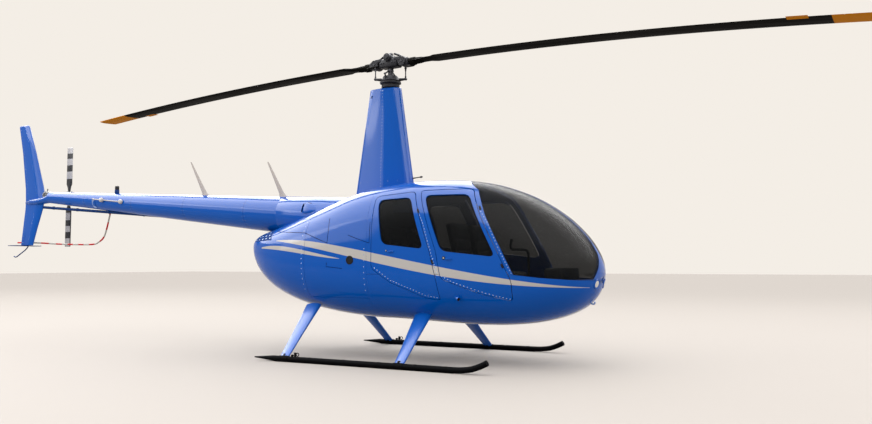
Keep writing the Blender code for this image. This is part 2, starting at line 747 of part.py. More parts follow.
def boom_fittings():
    """Aerials, beacon, the rod with two balls and the thin tube under the boom."""
    # name, x, height, how far the tip is swept back
    aerials = (("front_aerial", -1.482, 0.443, 0.245), ("rear_aerial", -2.715, 0.448, 0.265))
    for name, x, height, sweep in aerials:
        z, radius = boom_at(x)
        base = z + radius - 0.008
        # share of height, half chord, half thickness
        levels = ((0, 0.058, 0.014), (0.12, 0.038, 0.010), (1, 0.012, 0.003))
        rings = []
        for share, half_chord, half_thick in levels:
            centre = (x - sweep * share, 0, base + height * share)
            rings.append(ellipse(centre, half_chord, half_thick, (1, 0, 0), (0, 1, 0), 10))
        aerial = loft(name, rings, GREY)
        cut_off_boom(aerial, x)
    z, radius = boom_at(-4.320)
    beacon = tube(
        "beacon", [(-4.320, 0, z + radius - 0.01), (-4.320, 0, 2.055)], 0.030, BLACK, 14
    )
    cut_off_boom(beacon, -4.320)
    z, radius = boom_at(-4.670)
    low, high = (-4.672, -radius - 0.016, z - 0.075), (-4.610, -0.020, z + 0.070)
    bracket = box("ball_aerial", low, high, BLUE)
    rod_y = -radius - 0.022
    rod = tube("rod", [(-4.662, rod_y, 1.880), (-4.075, rod_y, 1.822)], 0.008, GREY, 8)
    combine(bracket, rod, "UNION")
    for x, height in ((-4.455, 1.860), (-4.085, 1.823)):
        ball = bmesh.new()
        bmesh.ops.create_icosphere(ball, subdivisions=1, radius=0.031)
        bmesh.ops.translate(ball, verts=ball.verts, vec=(x, rod_y - 0.010, height))
        mesh = bpy.data.meshes.new("ball")
        ball.to_mesh(mesh)
        ball.free()
        tool = bpy.data.objects.new("ball", mesh)
        bpy.context.collection.objects.link(tool)
        combine(bracket, tool, "UNION")
    cut_off_boom(bracket, -4.400)
    thin = tube("under_boom_tube", [(-3.500, 0, 1.622), (-5.812, 0, 1.812)], 0.020, BLUE, 12)
    cut_off_boom(thin, -4.500, 1.2)
    fin_front = [fin_ring(-5.810 + SEAT, -6.225, 1.60 + 0.28 * k, 0.030) for k in (0, 1)]
    combine(thin, loft("cutter", fin_front, BLUE), "DIFFERENCE")
    weld(thin)


def cut_off_boom(piece, x, reach=0.4):
    """Takes away what lies inside the boom, leaving the fit."""
    rings = []
    for place in (x + reach, x - reach):
        z, radius = boom_at(place)
        rings.append(boom_ring(place, z, radius + SEAT))
    combine(piece, loft("cutter", rings, BLUE), "DIFFERENCE")
    weld(piece)


def main_rotor():
    """Mast, swashplates, hub and two drooping blades."""
    shaft_r = 0.030
    mast = tube("rotor_mast", [(0, 0, MAST_TOP + SEAT), (0, 0, 3.180)], shaft_r, STEEL, 16)
    fixed = tube("fixed_swashplate", [(0, 0, MAST_TOP + SEAT), (0, 0, 2.972)], 0.060, BLACK, 16)
    combine(fixed, tube("plate", [(0, 0, 2.968), (0, 0, 3.025)], 0.122, BLACK, 20), "UNION")
    combine(fixed, tube("hole", [(0, 0, 2.9), (0, 0, 3.1)], shaft_r + 0.008, BLACK, 16), "DIFFERENCE")
    turning = tube("turning_swashplate", [(0, 0, 3.031), (0, 0, 3.095)], 0.112, BLACK, 20)
    along = Vector((math.cos(PARKED_ANGLE), math.sin(PARKED_ANGLE), 0))
    across = Vector((-along.y, along.x, 0))
    up = Vector((0, 0, 1))
    for sign in (1, -1):
        horn = (along * LINK_X + across * LINK_Y) * sign
        low, high = horn * 0.5 + up * 3.060, horn + up * 3.060
        combine(turning, tube("horn", [low, high], 0.014, BLACK, 8), "UNION")
        link = tube("link", [horn + up * 3.055, horn + up * LINK_TOP], 0.010, BLACK, 8)
        combine(turning, link, "UNION")
    hole = tube("hole", [(0, 0, 3.0), (0, 0, 3.2)], shaft_r + SEAT, BLACK, 16)
    combine(turning, hole, "DIFFERENCE")
    hub = hub_solid(along, across, up)
    for end, sign in (("front", 1), ("rear", -1)):
        blade(f"main_blade_{end}", along * sign, across * sign, BLADE_DROOP[end])
    return mast, fixed, turning, hub


def hub_solid(along, across, up):
    """The teetering hub: a bar with the coning hinges, and the teeter block on its top."""
    half_width, low, high = 0.062, 3.1803, 3.292
    rings = []
    middle = (low + high) / 2
    # place along the bar, and the share of the width and height kept there
    for place, keep in ((-0.265, 0.55), (-0.230, 1.0), (0.230, 1.0), (0.265, 0.55)):
        half = (high - low) / 2 * keep
        side = across * half_width * keep
        centre = along * place
        rings.append([centre + side + up * (middle + half), centre - side + up * (middle + half)])
        rings[-1] += [centre - side + up * (middle - half), centre + side + up * (middle - half)]
    hub = loft("rotor_hub", rings, BLACK, 30)
    teeter = []
    for place in (-0.100, 0.100):
        centre = across * place
        teeter.append(ellipse(centre + up * 3.300, 0.085, 0.060, along, up, 12, 3.0))
    combine(hub, loft("teeter", teeter, BLACK, 30), "UNION")
    return weld(hub)


def blade(name, along, across, tip_droop):
    """A blade with a faired root, drooping under its own weight."""
    up = Vector((0, 0, 1))
    root = [(0.2653, 0.045, 0.030), (0.420, 0.055, 0.028), (0.520, 0.080, 0.024)]
    rings = []
    for radius, half_chord, half_thick in root:
        rings.append(blade_ring(radius, half_chord, half_thick, along, across, tip_droop))
    first = 0.640
    for k in range(ROTOR_STATIONS):
        radius = first + (ROTOR_R - first) * k / (ROTOR_STATIONS - 1)
        rings.append(blade_ring(radius, BLADE_CHORD / 2, BLADE_THICK / 2, along, across, tip_droop))
    made = loft(name, rings, BLACK, 50)
    horn = [(0.300, 0.0), (0.285, 0.060), (0.240, LINK_Y), (LINK_X - 0.012, LINK_Y)]
    level = LINK_TOP + SEAT + HORN_R
    path = [along * out + across * aside + up * level for out, aside in horn]
    combine(made, tube("horn", path, HORN_R, STEEL, 8), "UNION")
    return weld(made)


def blade_ring(radius, half_chord, half_thick, along, across, tip_droop):
    """The blade's leading edge faces the way it turns, a quarter chord ahead of its axis."""
    up = Vector((0, 0, 1))
    droop = tip_droop * (radius / ROTOR_R) ** 2
    shift = half_chord * 0.5 - 0.045 * (1 if half_chord > 0.1 else 0)
    centre = along * radius - across * (shift - 0.02) + up * (HUB_Z - droop)
    ring = []
    sides = 12
    for k in range(sides):
        angle = 2 * math.pi * k / sides
        c, s = math.cos(angle), math.sin(angle)
        # Thick at the front, thin at the trailing edge
        thick = half_thick * s * (0.62 + 0.38 * c) * 1.25
        ring.append(centre + across * (half_chord * c) + up * thick)
    return ring


def tail_rotor():
    x, y, z = TAIL_ROTOR
    shaft = tube("tail_rotor_hub", [(x, 0.2403, z), (x, 0.405, z)], 0.016, STEEL, 12)
    block = box("block", (x - 0.045, y - 0.024, z - 0.085), (x + 0.045, y + 0.024, z + 0.085), BLACK)
    combine(shaft, block, "UNION")
    for name, sign in (("tail_blade_upper", 1), ("tail_blade_lower", -1)):
        rings = []
        # radius, half chord, half thickness
        for radius, half_chord, half_thick in (
            (0.0853, 0.030, 0.016),
            (0.150, 0.040, 0.013),
            (0.190, TAIL_ROTOR_CHORD / 2, 0.010),
            (TAIL_ROTOR_R, TAIL_ROTOR_CHORD / 2, 0.008),
        ):
            centre = (x - 0.010, y, z + sign * radius)
            rings.append(ellipse(centre, half_chord, half_thick, (1, 0, 0), (0, 1, 0), 12, 1.8))
        loft(name, rings, BLACK, 50)


def landing_gear():
    """Two skids, and the four faired legs that carry the body on them."""
    run = ((SKID_REAR_X, SKID_Z), (SKID_TAPER_X, SKID_Z), *SKID_FRONT)
    radii = [SKID_TAIL_R] + [SKID_R] * (len(run) - 1)
    for side, sign in (("right", -1), ("left", 1)):
        middle = sign * SKID_Y
        skid = tube(f"skid_{side}", [(x, middle, z) for x, z in run], radii, BLACK, 12)
        rear, front, half, top = SHOE
        shoe = box("shoe", (rear, middle - half, 0.0), (front, middle + half, top), BLACK)
        combine(skid, shoe, "UNION")
        rear, front, half, top = LUG
        lug = box("lug", (rear, middle - half, SKID_Z), (front, middle + half, top), BLACK)
        combine(skid, lug, "UNION")
        weld(skid)
        for name, foot_x, top_x, top_z in LEGS:
            leg(f"{name}_leg_{side}", sign, foot_x, top_x, top_z)


def leg(name, sign, foot_x, top_x, top_z):
    foot = Vector((foot_x, sign * SKID_Y, SKID_Z + LEG_FOOT_RISE))
    knee = Vector((top_x, sign * LEG_KNEE_Y, top_z))
    slope = (knee - foot).normalized()
    chord = Vector((1, 0, 0)) - slope * slope.x
    chord.normalize()
    thick = slope.cross(chord)
    rings = []
    for share, half_chord, half_thick in LEG_RINGS:
        rings.append(ellipse(foot + (knee - foot) * share, half_chord, half_thick, chord, thick, 14))
    made = loft(name, rings, BLUE, 60)
    combine(made, body_solid("cutter", -SEAT), "DIFFERENCE")
    ends = [(-1.2, sign * SKID_Y, SKID_Z), (1.34, sign * SKID_Y, SKID_Z)]
    combine(made, tube("cutter", ends, SKID_R + SEAT, BLACK, 12), "DIFFERENCE")
    low = (foot_x - 0.3, sign * SKID_Y - 0.2, -0.1)
    high = (foot_x + 0.3, sign * SKID_Y + 0.2, SKID_Z + 0.012)
    combine(made, box("cutter", low, high, BLACK), "DIFFERENCE")
    return weld(made)


cabin_panels()
windshield()
for place, shape, pane in (("front", FRONT_DOOR, FRONT_WINDOW), ("rear", REAR_DOOR, REAR_WINDOW)):
    for hand in ("right", "left"):
        door(place, hand, shape, pane)
rear_body()
cabin_inside()
engine()
mast_fairing()
boom()
tail()
tail_rotor_guard()
boom_fittings()
main_rotor()
tail_rotor()
landing_gear()

datum = bpy.data.objects.new("datum", None)
bpy.context.collection.objects.link(datum)
datum.location = (DATUM_X, 0, 0)
for thing in bpy.data.objects:
    if thing.type == "MESH" and thing.parent is None:
        thing.parent = datum
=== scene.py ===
"""A light four-seat helicopter on its skids. Metres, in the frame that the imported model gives."""

import json
import math

import bmesh
import bpy
import numpy as np
from mathutils import Matrix, Vector, geometry


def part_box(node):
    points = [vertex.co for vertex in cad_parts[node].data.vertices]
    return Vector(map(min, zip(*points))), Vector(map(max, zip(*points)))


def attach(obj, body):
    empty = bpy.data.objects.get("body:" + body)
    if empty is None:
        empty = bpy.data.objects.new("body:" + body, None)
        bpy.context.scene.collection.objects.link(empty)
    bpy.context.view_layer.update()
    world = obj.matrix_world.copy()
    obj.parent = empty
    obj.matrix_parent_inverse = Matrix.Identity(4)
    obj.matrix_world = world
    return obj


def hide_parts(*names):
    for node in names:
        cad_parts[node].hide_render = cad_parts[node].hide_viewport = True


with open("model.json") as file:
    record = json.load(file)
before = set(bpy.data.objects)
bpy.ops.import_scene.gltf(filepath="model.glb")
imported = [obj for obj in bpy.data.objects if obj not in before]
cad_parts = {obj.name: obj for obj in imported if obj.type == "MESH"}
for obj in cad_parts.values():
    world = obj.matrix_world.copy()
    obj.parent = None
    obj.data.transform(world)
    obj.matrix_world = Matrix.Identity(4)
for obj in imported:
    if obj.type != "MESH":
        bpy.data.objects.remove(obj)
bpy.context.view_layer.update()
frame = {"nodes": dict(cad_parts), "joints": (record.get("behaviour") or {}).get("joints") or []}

# The camera stands off the starboard bow at chest height and looks slightly up, as the photographer did.
# Its place and angles come from a fit of the rotor, the body and the skids to their places in the picture.
PICTURE = (872, 424)
FOCAL_PIXELS = 807.2
SENSOR = 36.0
YAW = 0.48173
PITCH = 0.06512
joint_places = {joint["name"]: Vector(joint["pos_m"]) for joint in frame["joints"]}
MAST_X = joint_places["main_rotor_spin"].x
camera = bpy.data.objects.new("camera", bpy.data.cameras.new("camera"))
bpy.context.collection.objects.link(camera)
camera.data.sensor_width = SENSOR
camera.data.lens = FOCAL_PIXELS * SENSOR / PICTURE[0]
camera.data.clip_end = 500.0
camera.location = (MAST_X + 4.5915, -7.6823, 0.9867)
camera.rotation_euler = (math.pi / 2 + PITCH, 0.0, YAW)
bpy.context.scene.camera = camera

# The studio: a pale floor that runs out to a pale horizon, a broad soft light overhead and a dim fill.
# Floor and horizon have the warm white of the photograph's ground.
FLOOR_SIZE = 160.0
FLOOR_COLOUR = (0.346, 0.317, 0.287)
HORIZON = (0.905, 0.855, 0.79)
ZENITH = (2.4, 2.4, 2.45)


class Shade:
    """A shader socket that takes part in Python sums: each operation adds its Math node."""

    def __init__(self, tree, socket):
        self.tree = tree
        self.socket = socket

    def node(self, kind, settings=(), sockets=(), out=0):
        """Adds a node by its type, its settings, which are set first, and its sockets' values or links."""
        made = self.tree.nodes.new("ShaderNode" + kind)
        for name, value in dict(settings).items():
            if name != "stops":
                setattr(made, name, value)
                continue
            ramp = made.color_ramp
            while len(ramp.elements) < len(value):
                ramp.elements.new(1.0)
            for element, (place, colour) in zip(ramp.elements, value):
                element.position = place
                element.color = (*colour, 1.0)
        for name, value in dict(sockets).items():
            if isinstance(value, Shade):
                self.tree.links.new(value.socket, made.inputs[name])
            else:
                made.inputs[name].default_value = value
        return Shade(self.tree, made.outputs[out])

    def sum(self, operation, other=0.0, clamp=False):
        return self.node("Math", {"operation": operation, "use_clamp": clamp}, {0: self, 1: other})

    def __add__(self, other):
        return self.sum("ADD", other)

    def __sub__(self, other):
        return self.sum("SUBTRACT", other)

    def __rsub__(self, other):
        return self.node("Math", {"operation": "SUBTRACT"}, {0: other, 1: self})

    def __mul__(self, other):
        return self.sum("MULTIPLY", other)

    def __truediv__(self, other):
        return self.sum("DIVIDE", other)

    __radd__ = __add__
    __rmul__ = __mul__

    def __abs__(self):
        return self.sum("ABSOLUTE")

    def low(self, other):
        return self.sum("MINIMUM", other)

    def high(self, other):
        return self.sum("MAXIMUM", other)

    def above(self, edge, soft=0.001):
        """1 where the value is over the edge, 0 where it is under it, with a narrow soft step."""
        return ((self - edge) / soft + 0.5).sum("ADD", 0.0, clamp=True)

    def axes(self):
        return [self.node("SeparateXYZ", (), {0: self}, out=axis) for axis in range(3)]

    def noise(self, scale, detail=3.0, roughness=0.5, stretch=(1.0, 1.0, 1.0)):
        place = self.node("Mapping", (), {"Vector": self, "Scale": stretch})
        sockets = {"Vector": place, "Scale": scale, "Detail": detail, "Roughness": roughness}
        return self.node("TexNoise", (), sockets)

    def colours(self, low, high):
        """A colour between two, by this value."""
        ends = {6: low, 7: high}
        ends = {name: value if isinstance(value, Shade) else (*value, 1.0) for name, value in ends.items()}
        return self.node("Mix", {"data_type": "RGBA"}, {0: self, **ends}, out=2)

    def bump(self, distance, strength=1.0, over=None):
        sockets = {"Height": self, "Distance": distance, "Strength": strength}
        if over is not None:
            sockets["Normal"] = over
        return self.node("Bump", (), sockets)


def finish(name, **uniform):
    """A new Principled material. What is the same all over is set on its sockets."""
    made = bpy.data.materials.new(name)
    made.use_nodes = True
    shader = made.node_tree.nodes["Principled BSDF"]
    for socket, value in uniform.items():
        socket = socket.replace("_", " ").title().replace("Ior", "IOR")
        shader.inputs[socket].default_value = (*value, 1.0) if isinstance(value, tuple) else value
    place = made.node_tree.nodes.new("ShaderNodeTexCoord").outputs["Object"]
    return made, shader, Shade(made.node_tree, place)


def feed(shader, **links):
    """Links values that vary over the surface to the shader's sockets."""
    for socket, value in links.items():
        value.tree.links.new(value.socket, shader.inputs[socket.replace("_", " ").title()])


def flat_mesh(name, verts, faces, finish_with=None):
    mesh = bpy.data.meshes.new(name)
    mesh.from_pydata([tuple(v) for v in verts], [], [tuple(f) for f in faces])
    made = bpy.data.objects.new(name, mesh)
    bpy.context.collection.objects.link(made)
    if finish_with:
        mesh.materials.append(finish_with)
    return made


half = FLOOR_SIZE / 2
floor_corners = [(-half, -half, 0), (half, -half, 0), (half, half, 0), (-half, half, 0)]
floor = flat_mesh("floor", floor_corners, [(0, 1, 2, 3)])
floor_finish, shader, place = finish("floor", base_color=FLOOR_COLOUR, roughness=0.9, specular_ior_level=0.1)
low_tone = tuple(0.985 * c for c in FLOOR_COLOUR)
feed(shader, base_color=place.noise(0.35).colours(low_tone, FLOOR_COLOUR))
floor.data.materials.append(floor_finish)

world = bpy.data.worlds.new("studio")
bpy.context.scene.world = world
world.use_nodes = True
sky = Shade(world.node_tree, world.node_tree.nodes.new("ShaderNodeTexCoord").outputs["Generated"])
height = sky.axes()[2]
colour = height.above(0.47, soft=0.20).colours(HORIZON, ZENITH)
world.node_tree.links.new(colour.socket, world.node_tree.nodes["Background"].inputs["Color"])

# name, place from the mast, size, power, where it aims, and whether it shows in gloss alone
LIGHTS = (
    ("ceiling", (-1.5, 0.0, 9.0), (46.0, 30.0), 31000.0, (-1.5, 0.0, 1.5), True),
    ("aft_quarter", (-8.5, -7.5, 4.2), (7.0, 3.5), 300.0, (-1.0, 0.0, 1.2), False),
    ("bow_fill", (9.0, -9.0, 4.5), (5.0, 5.0), 100.0, (0.0, 0.0, 1.4), False),
)
for name, place, size, power, aim, gloss_only in LIGHTS:
    lamp = bpy.data.lights.new(name, "AREA")
    lamp.shape = "RECTANGLE"
    lamp.size, lamp.size_y = size
    lamp.energy = power
    made = bpy.data.objects.new(name, lamp)
    bpy.context.collection.objects.link(made)
    made.location = Vector(place) + Vector((MAST_X, 0, 0))
    made.rotation_euler = (Vector(aim) - Vector(place)).to_track_quat("-Z", "Y").to_euler()
    made.visible_camera = False
    made.visible_diffuse = not gloss_only
bpy.context.scene.view_settings.view_transform = "Standard"

# The body's skin: a glass-fibre and aluminium shell, lofted through eighteen sections.
# Each panel is cut from it along lines drawn in the side view, as thick as the real wall, and painted blue.
# x from the mast, top, bottom, half width, height of the widest line, upper and lower roundness
SECTIONS = (
    (-1.790, 1.201, 1.199, 0.001, 1.200, 2.0, 2.0),
    (-1.775, 1.275, 1.070, 0.140, 1.200, 2.0, 2.0),
    (-1.720, 1.335, 0.940, 0.250, 1.195, 2.1, 2.0),
    (-1.600, 1.378, 0.808, 0.350, 1.180, 2.2, 2.1),
    (-1.370, 1.435, 0.670, 0.460, 1.140, 2.3, 2.2),
    (-1.020, 1.540, 0.552, 0.555, 1.080, 2.5, 2.4),
    (-0.600, 1.675, 0.468, 0.615, 1.030, 2.8, 2.5),
    (-0.150, 1.800, 0.422, 0.640, 1.000, 3.2, 2.6),
    (0.350, 1.860, 0.405, 0.645, 0.980, 3.6, 2.6),
    (0.800, 1.866, 0.385, 0.645, 0.960, 3.6, 2.6),
    (1.150, 1.840, 0.375, 0.645, 0.940, 3.3, 2.5),
    (1.450, 1.768, 0.380, 0.635, 0.930, 3.0, 2.5),
    (1.750, 1.645, 0.410, 0.600, 0.920, 2.6, 2.4),
    (2.020, 1.475, 0.475, 0.520, 0.915, 2.4, 2.3),
    (2.220, 1.290, 0.570, 0.400, 0.912, 2.2, 2.2),
    (2.340, 1.120, 0.690, 0.255, 0.912, 2.1, 2.0),
    (2.390, 0.990, 0.830, 0.110, 0.912, 2.0, 2.0),
    (2.400, 0.913, 0.911, 0.001, 0.912, 2.0, 2.0),
)
SKIN_STEP = 0.045
HALF_RING = 44
WALL = 0.040
SEAM = 0.003
BLUE = (0.0, 0.068, 0.34)
DEEP_BLUE = (0.0, 0.060, 0.31)
STRIPE_GREY = (0.36, 0.345, 0.33)
sections = np.array(SECTIONS)
sections[:, 0] += MAST_X
LAST_ROW = len(SECTIONS) - 1


def section_at(row):
    """The section's values at a place between two rows of the table, on a smooth curve through them."""
    row = np.clip(np.asarray(row, float), 0.0, LAST_ROW - 1e-6)
    i = row.astype(int)
    t = (row - i)[..., None]
    a, b = sections[np.maximum(i - 1, 0)], sections[i]
    c, d = sections[i + 1], sections[np.minimum(i + 2, LAST_ROW)]
    cubic = (-a + 3 * b - 3 * c + d) * t**3
    return 0.5 * (2 * b + (c - a) * t + (2 * a - 5 * b + 4 * c - d) * t**2 + cubic)


fine_rows = np.linspace(0, LAST_ROW, 3000)
fine_x = section_at(fine_rows)[:, 0]


def row_at(x):
    return np.interp(x, fine_x, fine_rows)


def skin_at(row, turn):
    """The skin's point at a row and a turn, from -90 degrees under the keel to 90 on the roof."""
    x, top, bottom, half_width, widest, upper, lower = np.moveaxis(section_at(row), -1, 0)
    c, s = np.cos(turn), np.sin(turn)
    rise = np.where(s >= 0, top - widest, widest - bottom)
    power = np.where(s >= 0, upper, lower)
    reach = (np.abs(c / half_width) ** power + np.abs(s / rise) ** power) ** (-1 / power)
    return np.stack([x, np.maximum(reach * c, 0.0), widest + reach * s], axis=-1)


def skin_outward(row, turn):
    """The skin's outward direction on its port half."""
    step = 1e-3
    ahead, behind = skin_at(row + step, turn), skin_at(np.maximum(row - step, 0), turn)
    over, under = skin_at(row, turn + step), skin_at(row, turn - step)
    edge = np.abs(turn) > math.pi / 2 - 2 * step
    around = np.where(edge[..., None], np.stack([0 * turn, -np.sign(turn), 0 * turn], -1), over - under)
    out = np.cross(around, ahead - behind)
    return out / np.linalg.norm(out, axis=-1, keepdims=True)


def side_to_skin(x, z):
    """Row and turn of the skin where the side view shows x and z, kept on the outline past it."""
    row = row_at(x)
    _, top, bottom, half_width, widest, upper, lower = np.moveaxis(section_at(row), -1, 0)
    over = z >= widest
    rise = np.where(over, top - widest, widest - bottom)
    power = np.where(over, upper, lower)
    share = np.clip(np.abs(z - widest) / rise, 0.0, 1.0)
    y = half_width * (1 - share**power) ** (1 / power)
    turn = np.arctan2(np.where(over, 1, -1) * share * rise, y)
    return row, turn


def spaced(outline, closed=True, step=0.018):
    """The outline with a point at least every step along it."""
    points = [np.array(p, float) for p in outline]
    out = []
    for a, b in zip(points, points[1:] + points[:1] if closed else points[1:]):
        count = max(1, int(math.ceil(np.linalg.norm(b - a) / step)))
        out += [a + (b - a) * k / count for k in range(count)]
    return np.array(out if closed else out + [points[-1]])


def within(outline, x, z):
    """Whether each point lies inside a closed outline."""
    inside = np.zeros(np.shape(x), bool)
    points = [tuple(p) for p in outline]
    for (x0, z0), (x1, z1) in zip(points, points[1:] + points[:1]):
        if z0 == z1:
            continue
        crosses = (z0 > z) != (z1 > z)
        inside ^= crosses & (x < x0 + (z - z0) * (x1 - x0) / (z1 - z0))
    return inside


def inset(outline, distance):
    """The same closed outline moved inwards, or outwards by a negative distance."""
    points = np.array(outline, float)
    after = np.roll(points, -1, axis=0) - points
    after /= np.linalg.norm(after, axis=1, keepdims=True)
    before = np.roll(after, 1, axis=0)
    doubled = np.roll(points, -1, axis=0)
    sign = np.sign((points[:, 0] * doubled[:, 1] - doubled[:, 0] * points[:, 1]).sum())
    n0 = np.stack([-before[:, 1], before[:, 0]], 1) * sign
    n1 = np.stack([-after[:, 1], after[:, 0]], 1) * sign
    mitre = (n0 + n1) / (1 + (n0 * n1).sum(1, keepdims=True))
    return [tuple(p) for p in points + mitre * distance]


def rounded(outline, radius, steps=8):
    """The outline with each sharp corner turned into a round one."""
    points = [np.array(p, float) for p in outline]
    out = []
    for i, here in enumerate(points):
        before, after = points[i - 1] - here, points[(i + 1) % len(points)] - here
        lengths = np.linalg.norm(before), np.linalg.norm(after)
        if before @ after / lengths[0] / lengths[1] < -0.94:
            out.append(tuple(here))
            continue
        reach = min(radius, 0.45 * min(lengths))
        start, end = here + before / lengths[0] * reach, here + after / lengths[1] * reach
        for k in range(steps + 1):
            t = k / steps
            out.append(tuple((1 - t) ** 2 * start + 2 * t * (1 - t) * here + t * t * end))
    return out


columns = []
for row in range(LAST_ROW):
    bays = max(3, math.ceil((sections[row + 1, 0] - sections[row, 0]) / SKIN_STEP))
    columns += [row + k / bays for k in range(bays)]
columns = np.array(columns + [LAST_ROW])


def skin_grid(row, turn):
    """Row and turn in steps of the grid, so that its cells are square."""
    return np.stack(
        [np.interp(row, columns, np.arange(len(columns))), (turn / math.pi + 0.5) * HALF_RING], -1,
    )


def skin_panel(name, keep, lines, finishes, reach=(-9.0, 9.0), depths=(0.0, WALL), sides=(-1, 1)):
    """A panel of the skin: where keep(x, y, z) holds, cut along the lines, between two depths.

    A line is an outline in the side view, or has a third column with the distance from the middle plane.
    """
    low, high = skin_grid(row_at(np.array(reach)), np.zeros(2))[:, 0]
    inner = [c for c in range(len(columns)) if low + 0.3 < c < high - 0.3]
    across = [low, *inner, high]
    points, edges = [], []
    for line, closed in lines:
        line = np.array(line, float)
        if line.shape[1] == 2:
            line = spaced(line, closed)
            place = skin_grid(*side_to_skin(line[:, 0], line[:, 1]))
        else:
            place = skin_grid(row_at(line[:, 0]), np.arctan2(line[:, 2], line[:, 1]))
        place[:, 0] = np.clip(place[:, 0], low, high)
        start = len(points)
        points += place.tolist()
        count = len(place)
        edges += [(start + k, start + (k + 1) % count) for k in range(count if closed else count - 1)]
    if points:
        cut = np.array(points)
        ends = np.array(edges)
        a, along = cut[ends[:, 0]], cut[ends[:, 1]] - cut[ends[:, 0]]
    grid = []
    for c in across:
        ring = np.stack([np.full(HALF_RING + 1, c), np.arange(HALF_RING + 1.0)], 1)
        if points and c not in (low, high):
            gap = ring[:, None] - a[None]
            t = np.clip((gap * along).sum(2) / np.maximum((along**2).sum(1), 1e-12), 0, 1)
            near = np.linalg.norm(gap - along[None] * t[..., None], axis=2).min(1)
            ring = ring[(near > 0.32) | (ring[:, 1] == 0) | (ring[:, 1] == HALF_RING)]
        grid += ring.tolist()
    flat = [Vector(p) for p in points + grid]
    flat, _, faces, *_ = geometry.delaunay_2d_cdt(flat, edges, [], 0, 1e-5)
    flat, faces = np.array([tuple(p) for p in flat]), np.array([tuple(f) for f in faces])

    def lift(place):
        row = np.interp(place[:, 0], np.arange(len(columns)), columns)
        turn = (place[:, 1] / HALF_RING - 0.5) * math.pi
        return row, turn

    middle = skin_at(*lift(flat[faces].mean(1)))
    faces = faces[keep(middle[:, 0], middle[:, 1], middle[:, 2])]
    used, faces = np.unique(faces, return_inverse=True)
    faces = faces.reshape(-1, 3)
    row, turn = lift(flat[used])
    outer = skin_at(row, turn)
    outward = skin_outward(row, turn)
    outer[np.abs(turn) > math.pi / 2 - 1e-6, 1] = 0.0
    section = section_at(row)
    room = np.minimum(section[:, 3], np.minimum(section[:, 1] - section[:, 4], section[:, 4] - section[:, 2]))
    flat_turn = np.cross(outer[faces[:, 1]] - outer[faces[:, 0]], outer[faces[:, 2]] - outer[faces[:, 0]])
    wrong = (flat_turn * outward[faces[:, 0]]).sum(1) < 0
    faces[wrong] = faces[wrong][:, ::-1]
    verts, normals, rooms, shell = [], [], [], []
    seen = {}
    for side in sides:
        mirror = np.array([1, side, 1])
        index = []
        for p, n, space in zip(outer * mirror, outward * mirror, room):
            key = (*np.round(p, 7),)
            if p[1] == 0.0 and key in seen:
                index.append(seen[key])
                continue
            seen[key] = len(verts)
            index.append(len(verts))
            verts.append(p)
            normals.append(n)
            rooms.append(min(depths[1], 0.6 * space))
        index = np.array(index)
        shell += [tuple(index[f][::side]) for f in faces]
    verts, normals = np.array(verts), np.array(normals)
    count = len(verts)
    every = np.concatenate([verts - normals * depths[0], verts - normals * np.array(rooms)[:, None]])
    uses = {}
    for f in shell:
        for p, q in zip(f, f[1:] + f[:1]):
            uses[(p, q)] = uses.get((p, q), 0) + 1
    walls = [(q, p, p + count, q + count) for p, q in uses if (q, p) not in uses]
    back = [tuple(v + count for v in f[::-1]) for f in shell]
    made = flat_mesh(name, every, shell + back + walls)
    mesh = made.data
    for each in finishes:
        mesh.materials.append(each)
    mesh.shade_smooth()
    corners = np.zeros((len(mesh.loops), 3))
    loop_verts = np.array([loop.vertex_index for loop in mesh.loops])
    skin_loops = 3 * len(shell)
    corners[:skin_loops] = normals[loop_verts[:skin_loops]]
    corners[skin_loops : 2 * skin_loops] = -normals[loop_verts[skin_loops : 2 * skin_loops] - count]
    for polygon in mesh.polygons[len(shell) :]:
        polygon.material_index = len(finishes) - 1
    for polygon in mesh.polygons[2 * len(shell) :]:
        corners[polygon.loop_start : polygon.loop_start + 4] = polygon.normal
    mesh.normals_split_custom_set(corners.tolist())
    return made


def dress(piece, body, slot, *nodes):
    """The piece rides on a body and stands for CAD nodes. The slot is not used."""
    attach(piece, body)
    if nodes:
        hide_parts(*nodes)
    return piece


def curve_through(points, value, degree):
    """A polynomial through points drawn in the side view, as a sum on the shader's x."""
    xs, zs = np.array(points).T
    total = None
    for factor in np.polyfit(xs, zs, degree):
        total = float(factor) if total is None else total * value + float(factor)
    return total


# The paint: glossy cobalt blue with a clear coat, and two warm grey stripes that sweep back from the nose.
# x from the mast and height of each stripe's edges
STRIPE_TOP = (
    (-1.190, 1.256), (-0.900, 1.254), (-0.644, 1.240), (-0.101, 1.159), (0.387, 1.064),
    (0.957, 0.964), (1.583, 0.861), (2.036, 0.798), (2.330, 0.771),
)
STRIPE_FOOT = (
    (-1.190, 1.250), (-0.787, 1.199), (-0.500, 1.146), (-0.228, 1.092), (0.269, 0.998),
    (0.845, 0.890), (1.482, 0.813), (2.034, 0.776), (2.330, 0.768),
)
SHORT_TOP = (
    (-1.460, 1.180), (-1.300, 1.196), (-1.019, 1.186), (-0.783, 1.150), (-0.493, 1.099), (-0.230, 1.050),
)
SHORT_FOOT = (
    (-1.460, 1.172), (-1.338, 1.162), (-1.096, 1.148), (-0.781, 1.106), (-0.493, 1.072), (-0.230, 1.048),
)


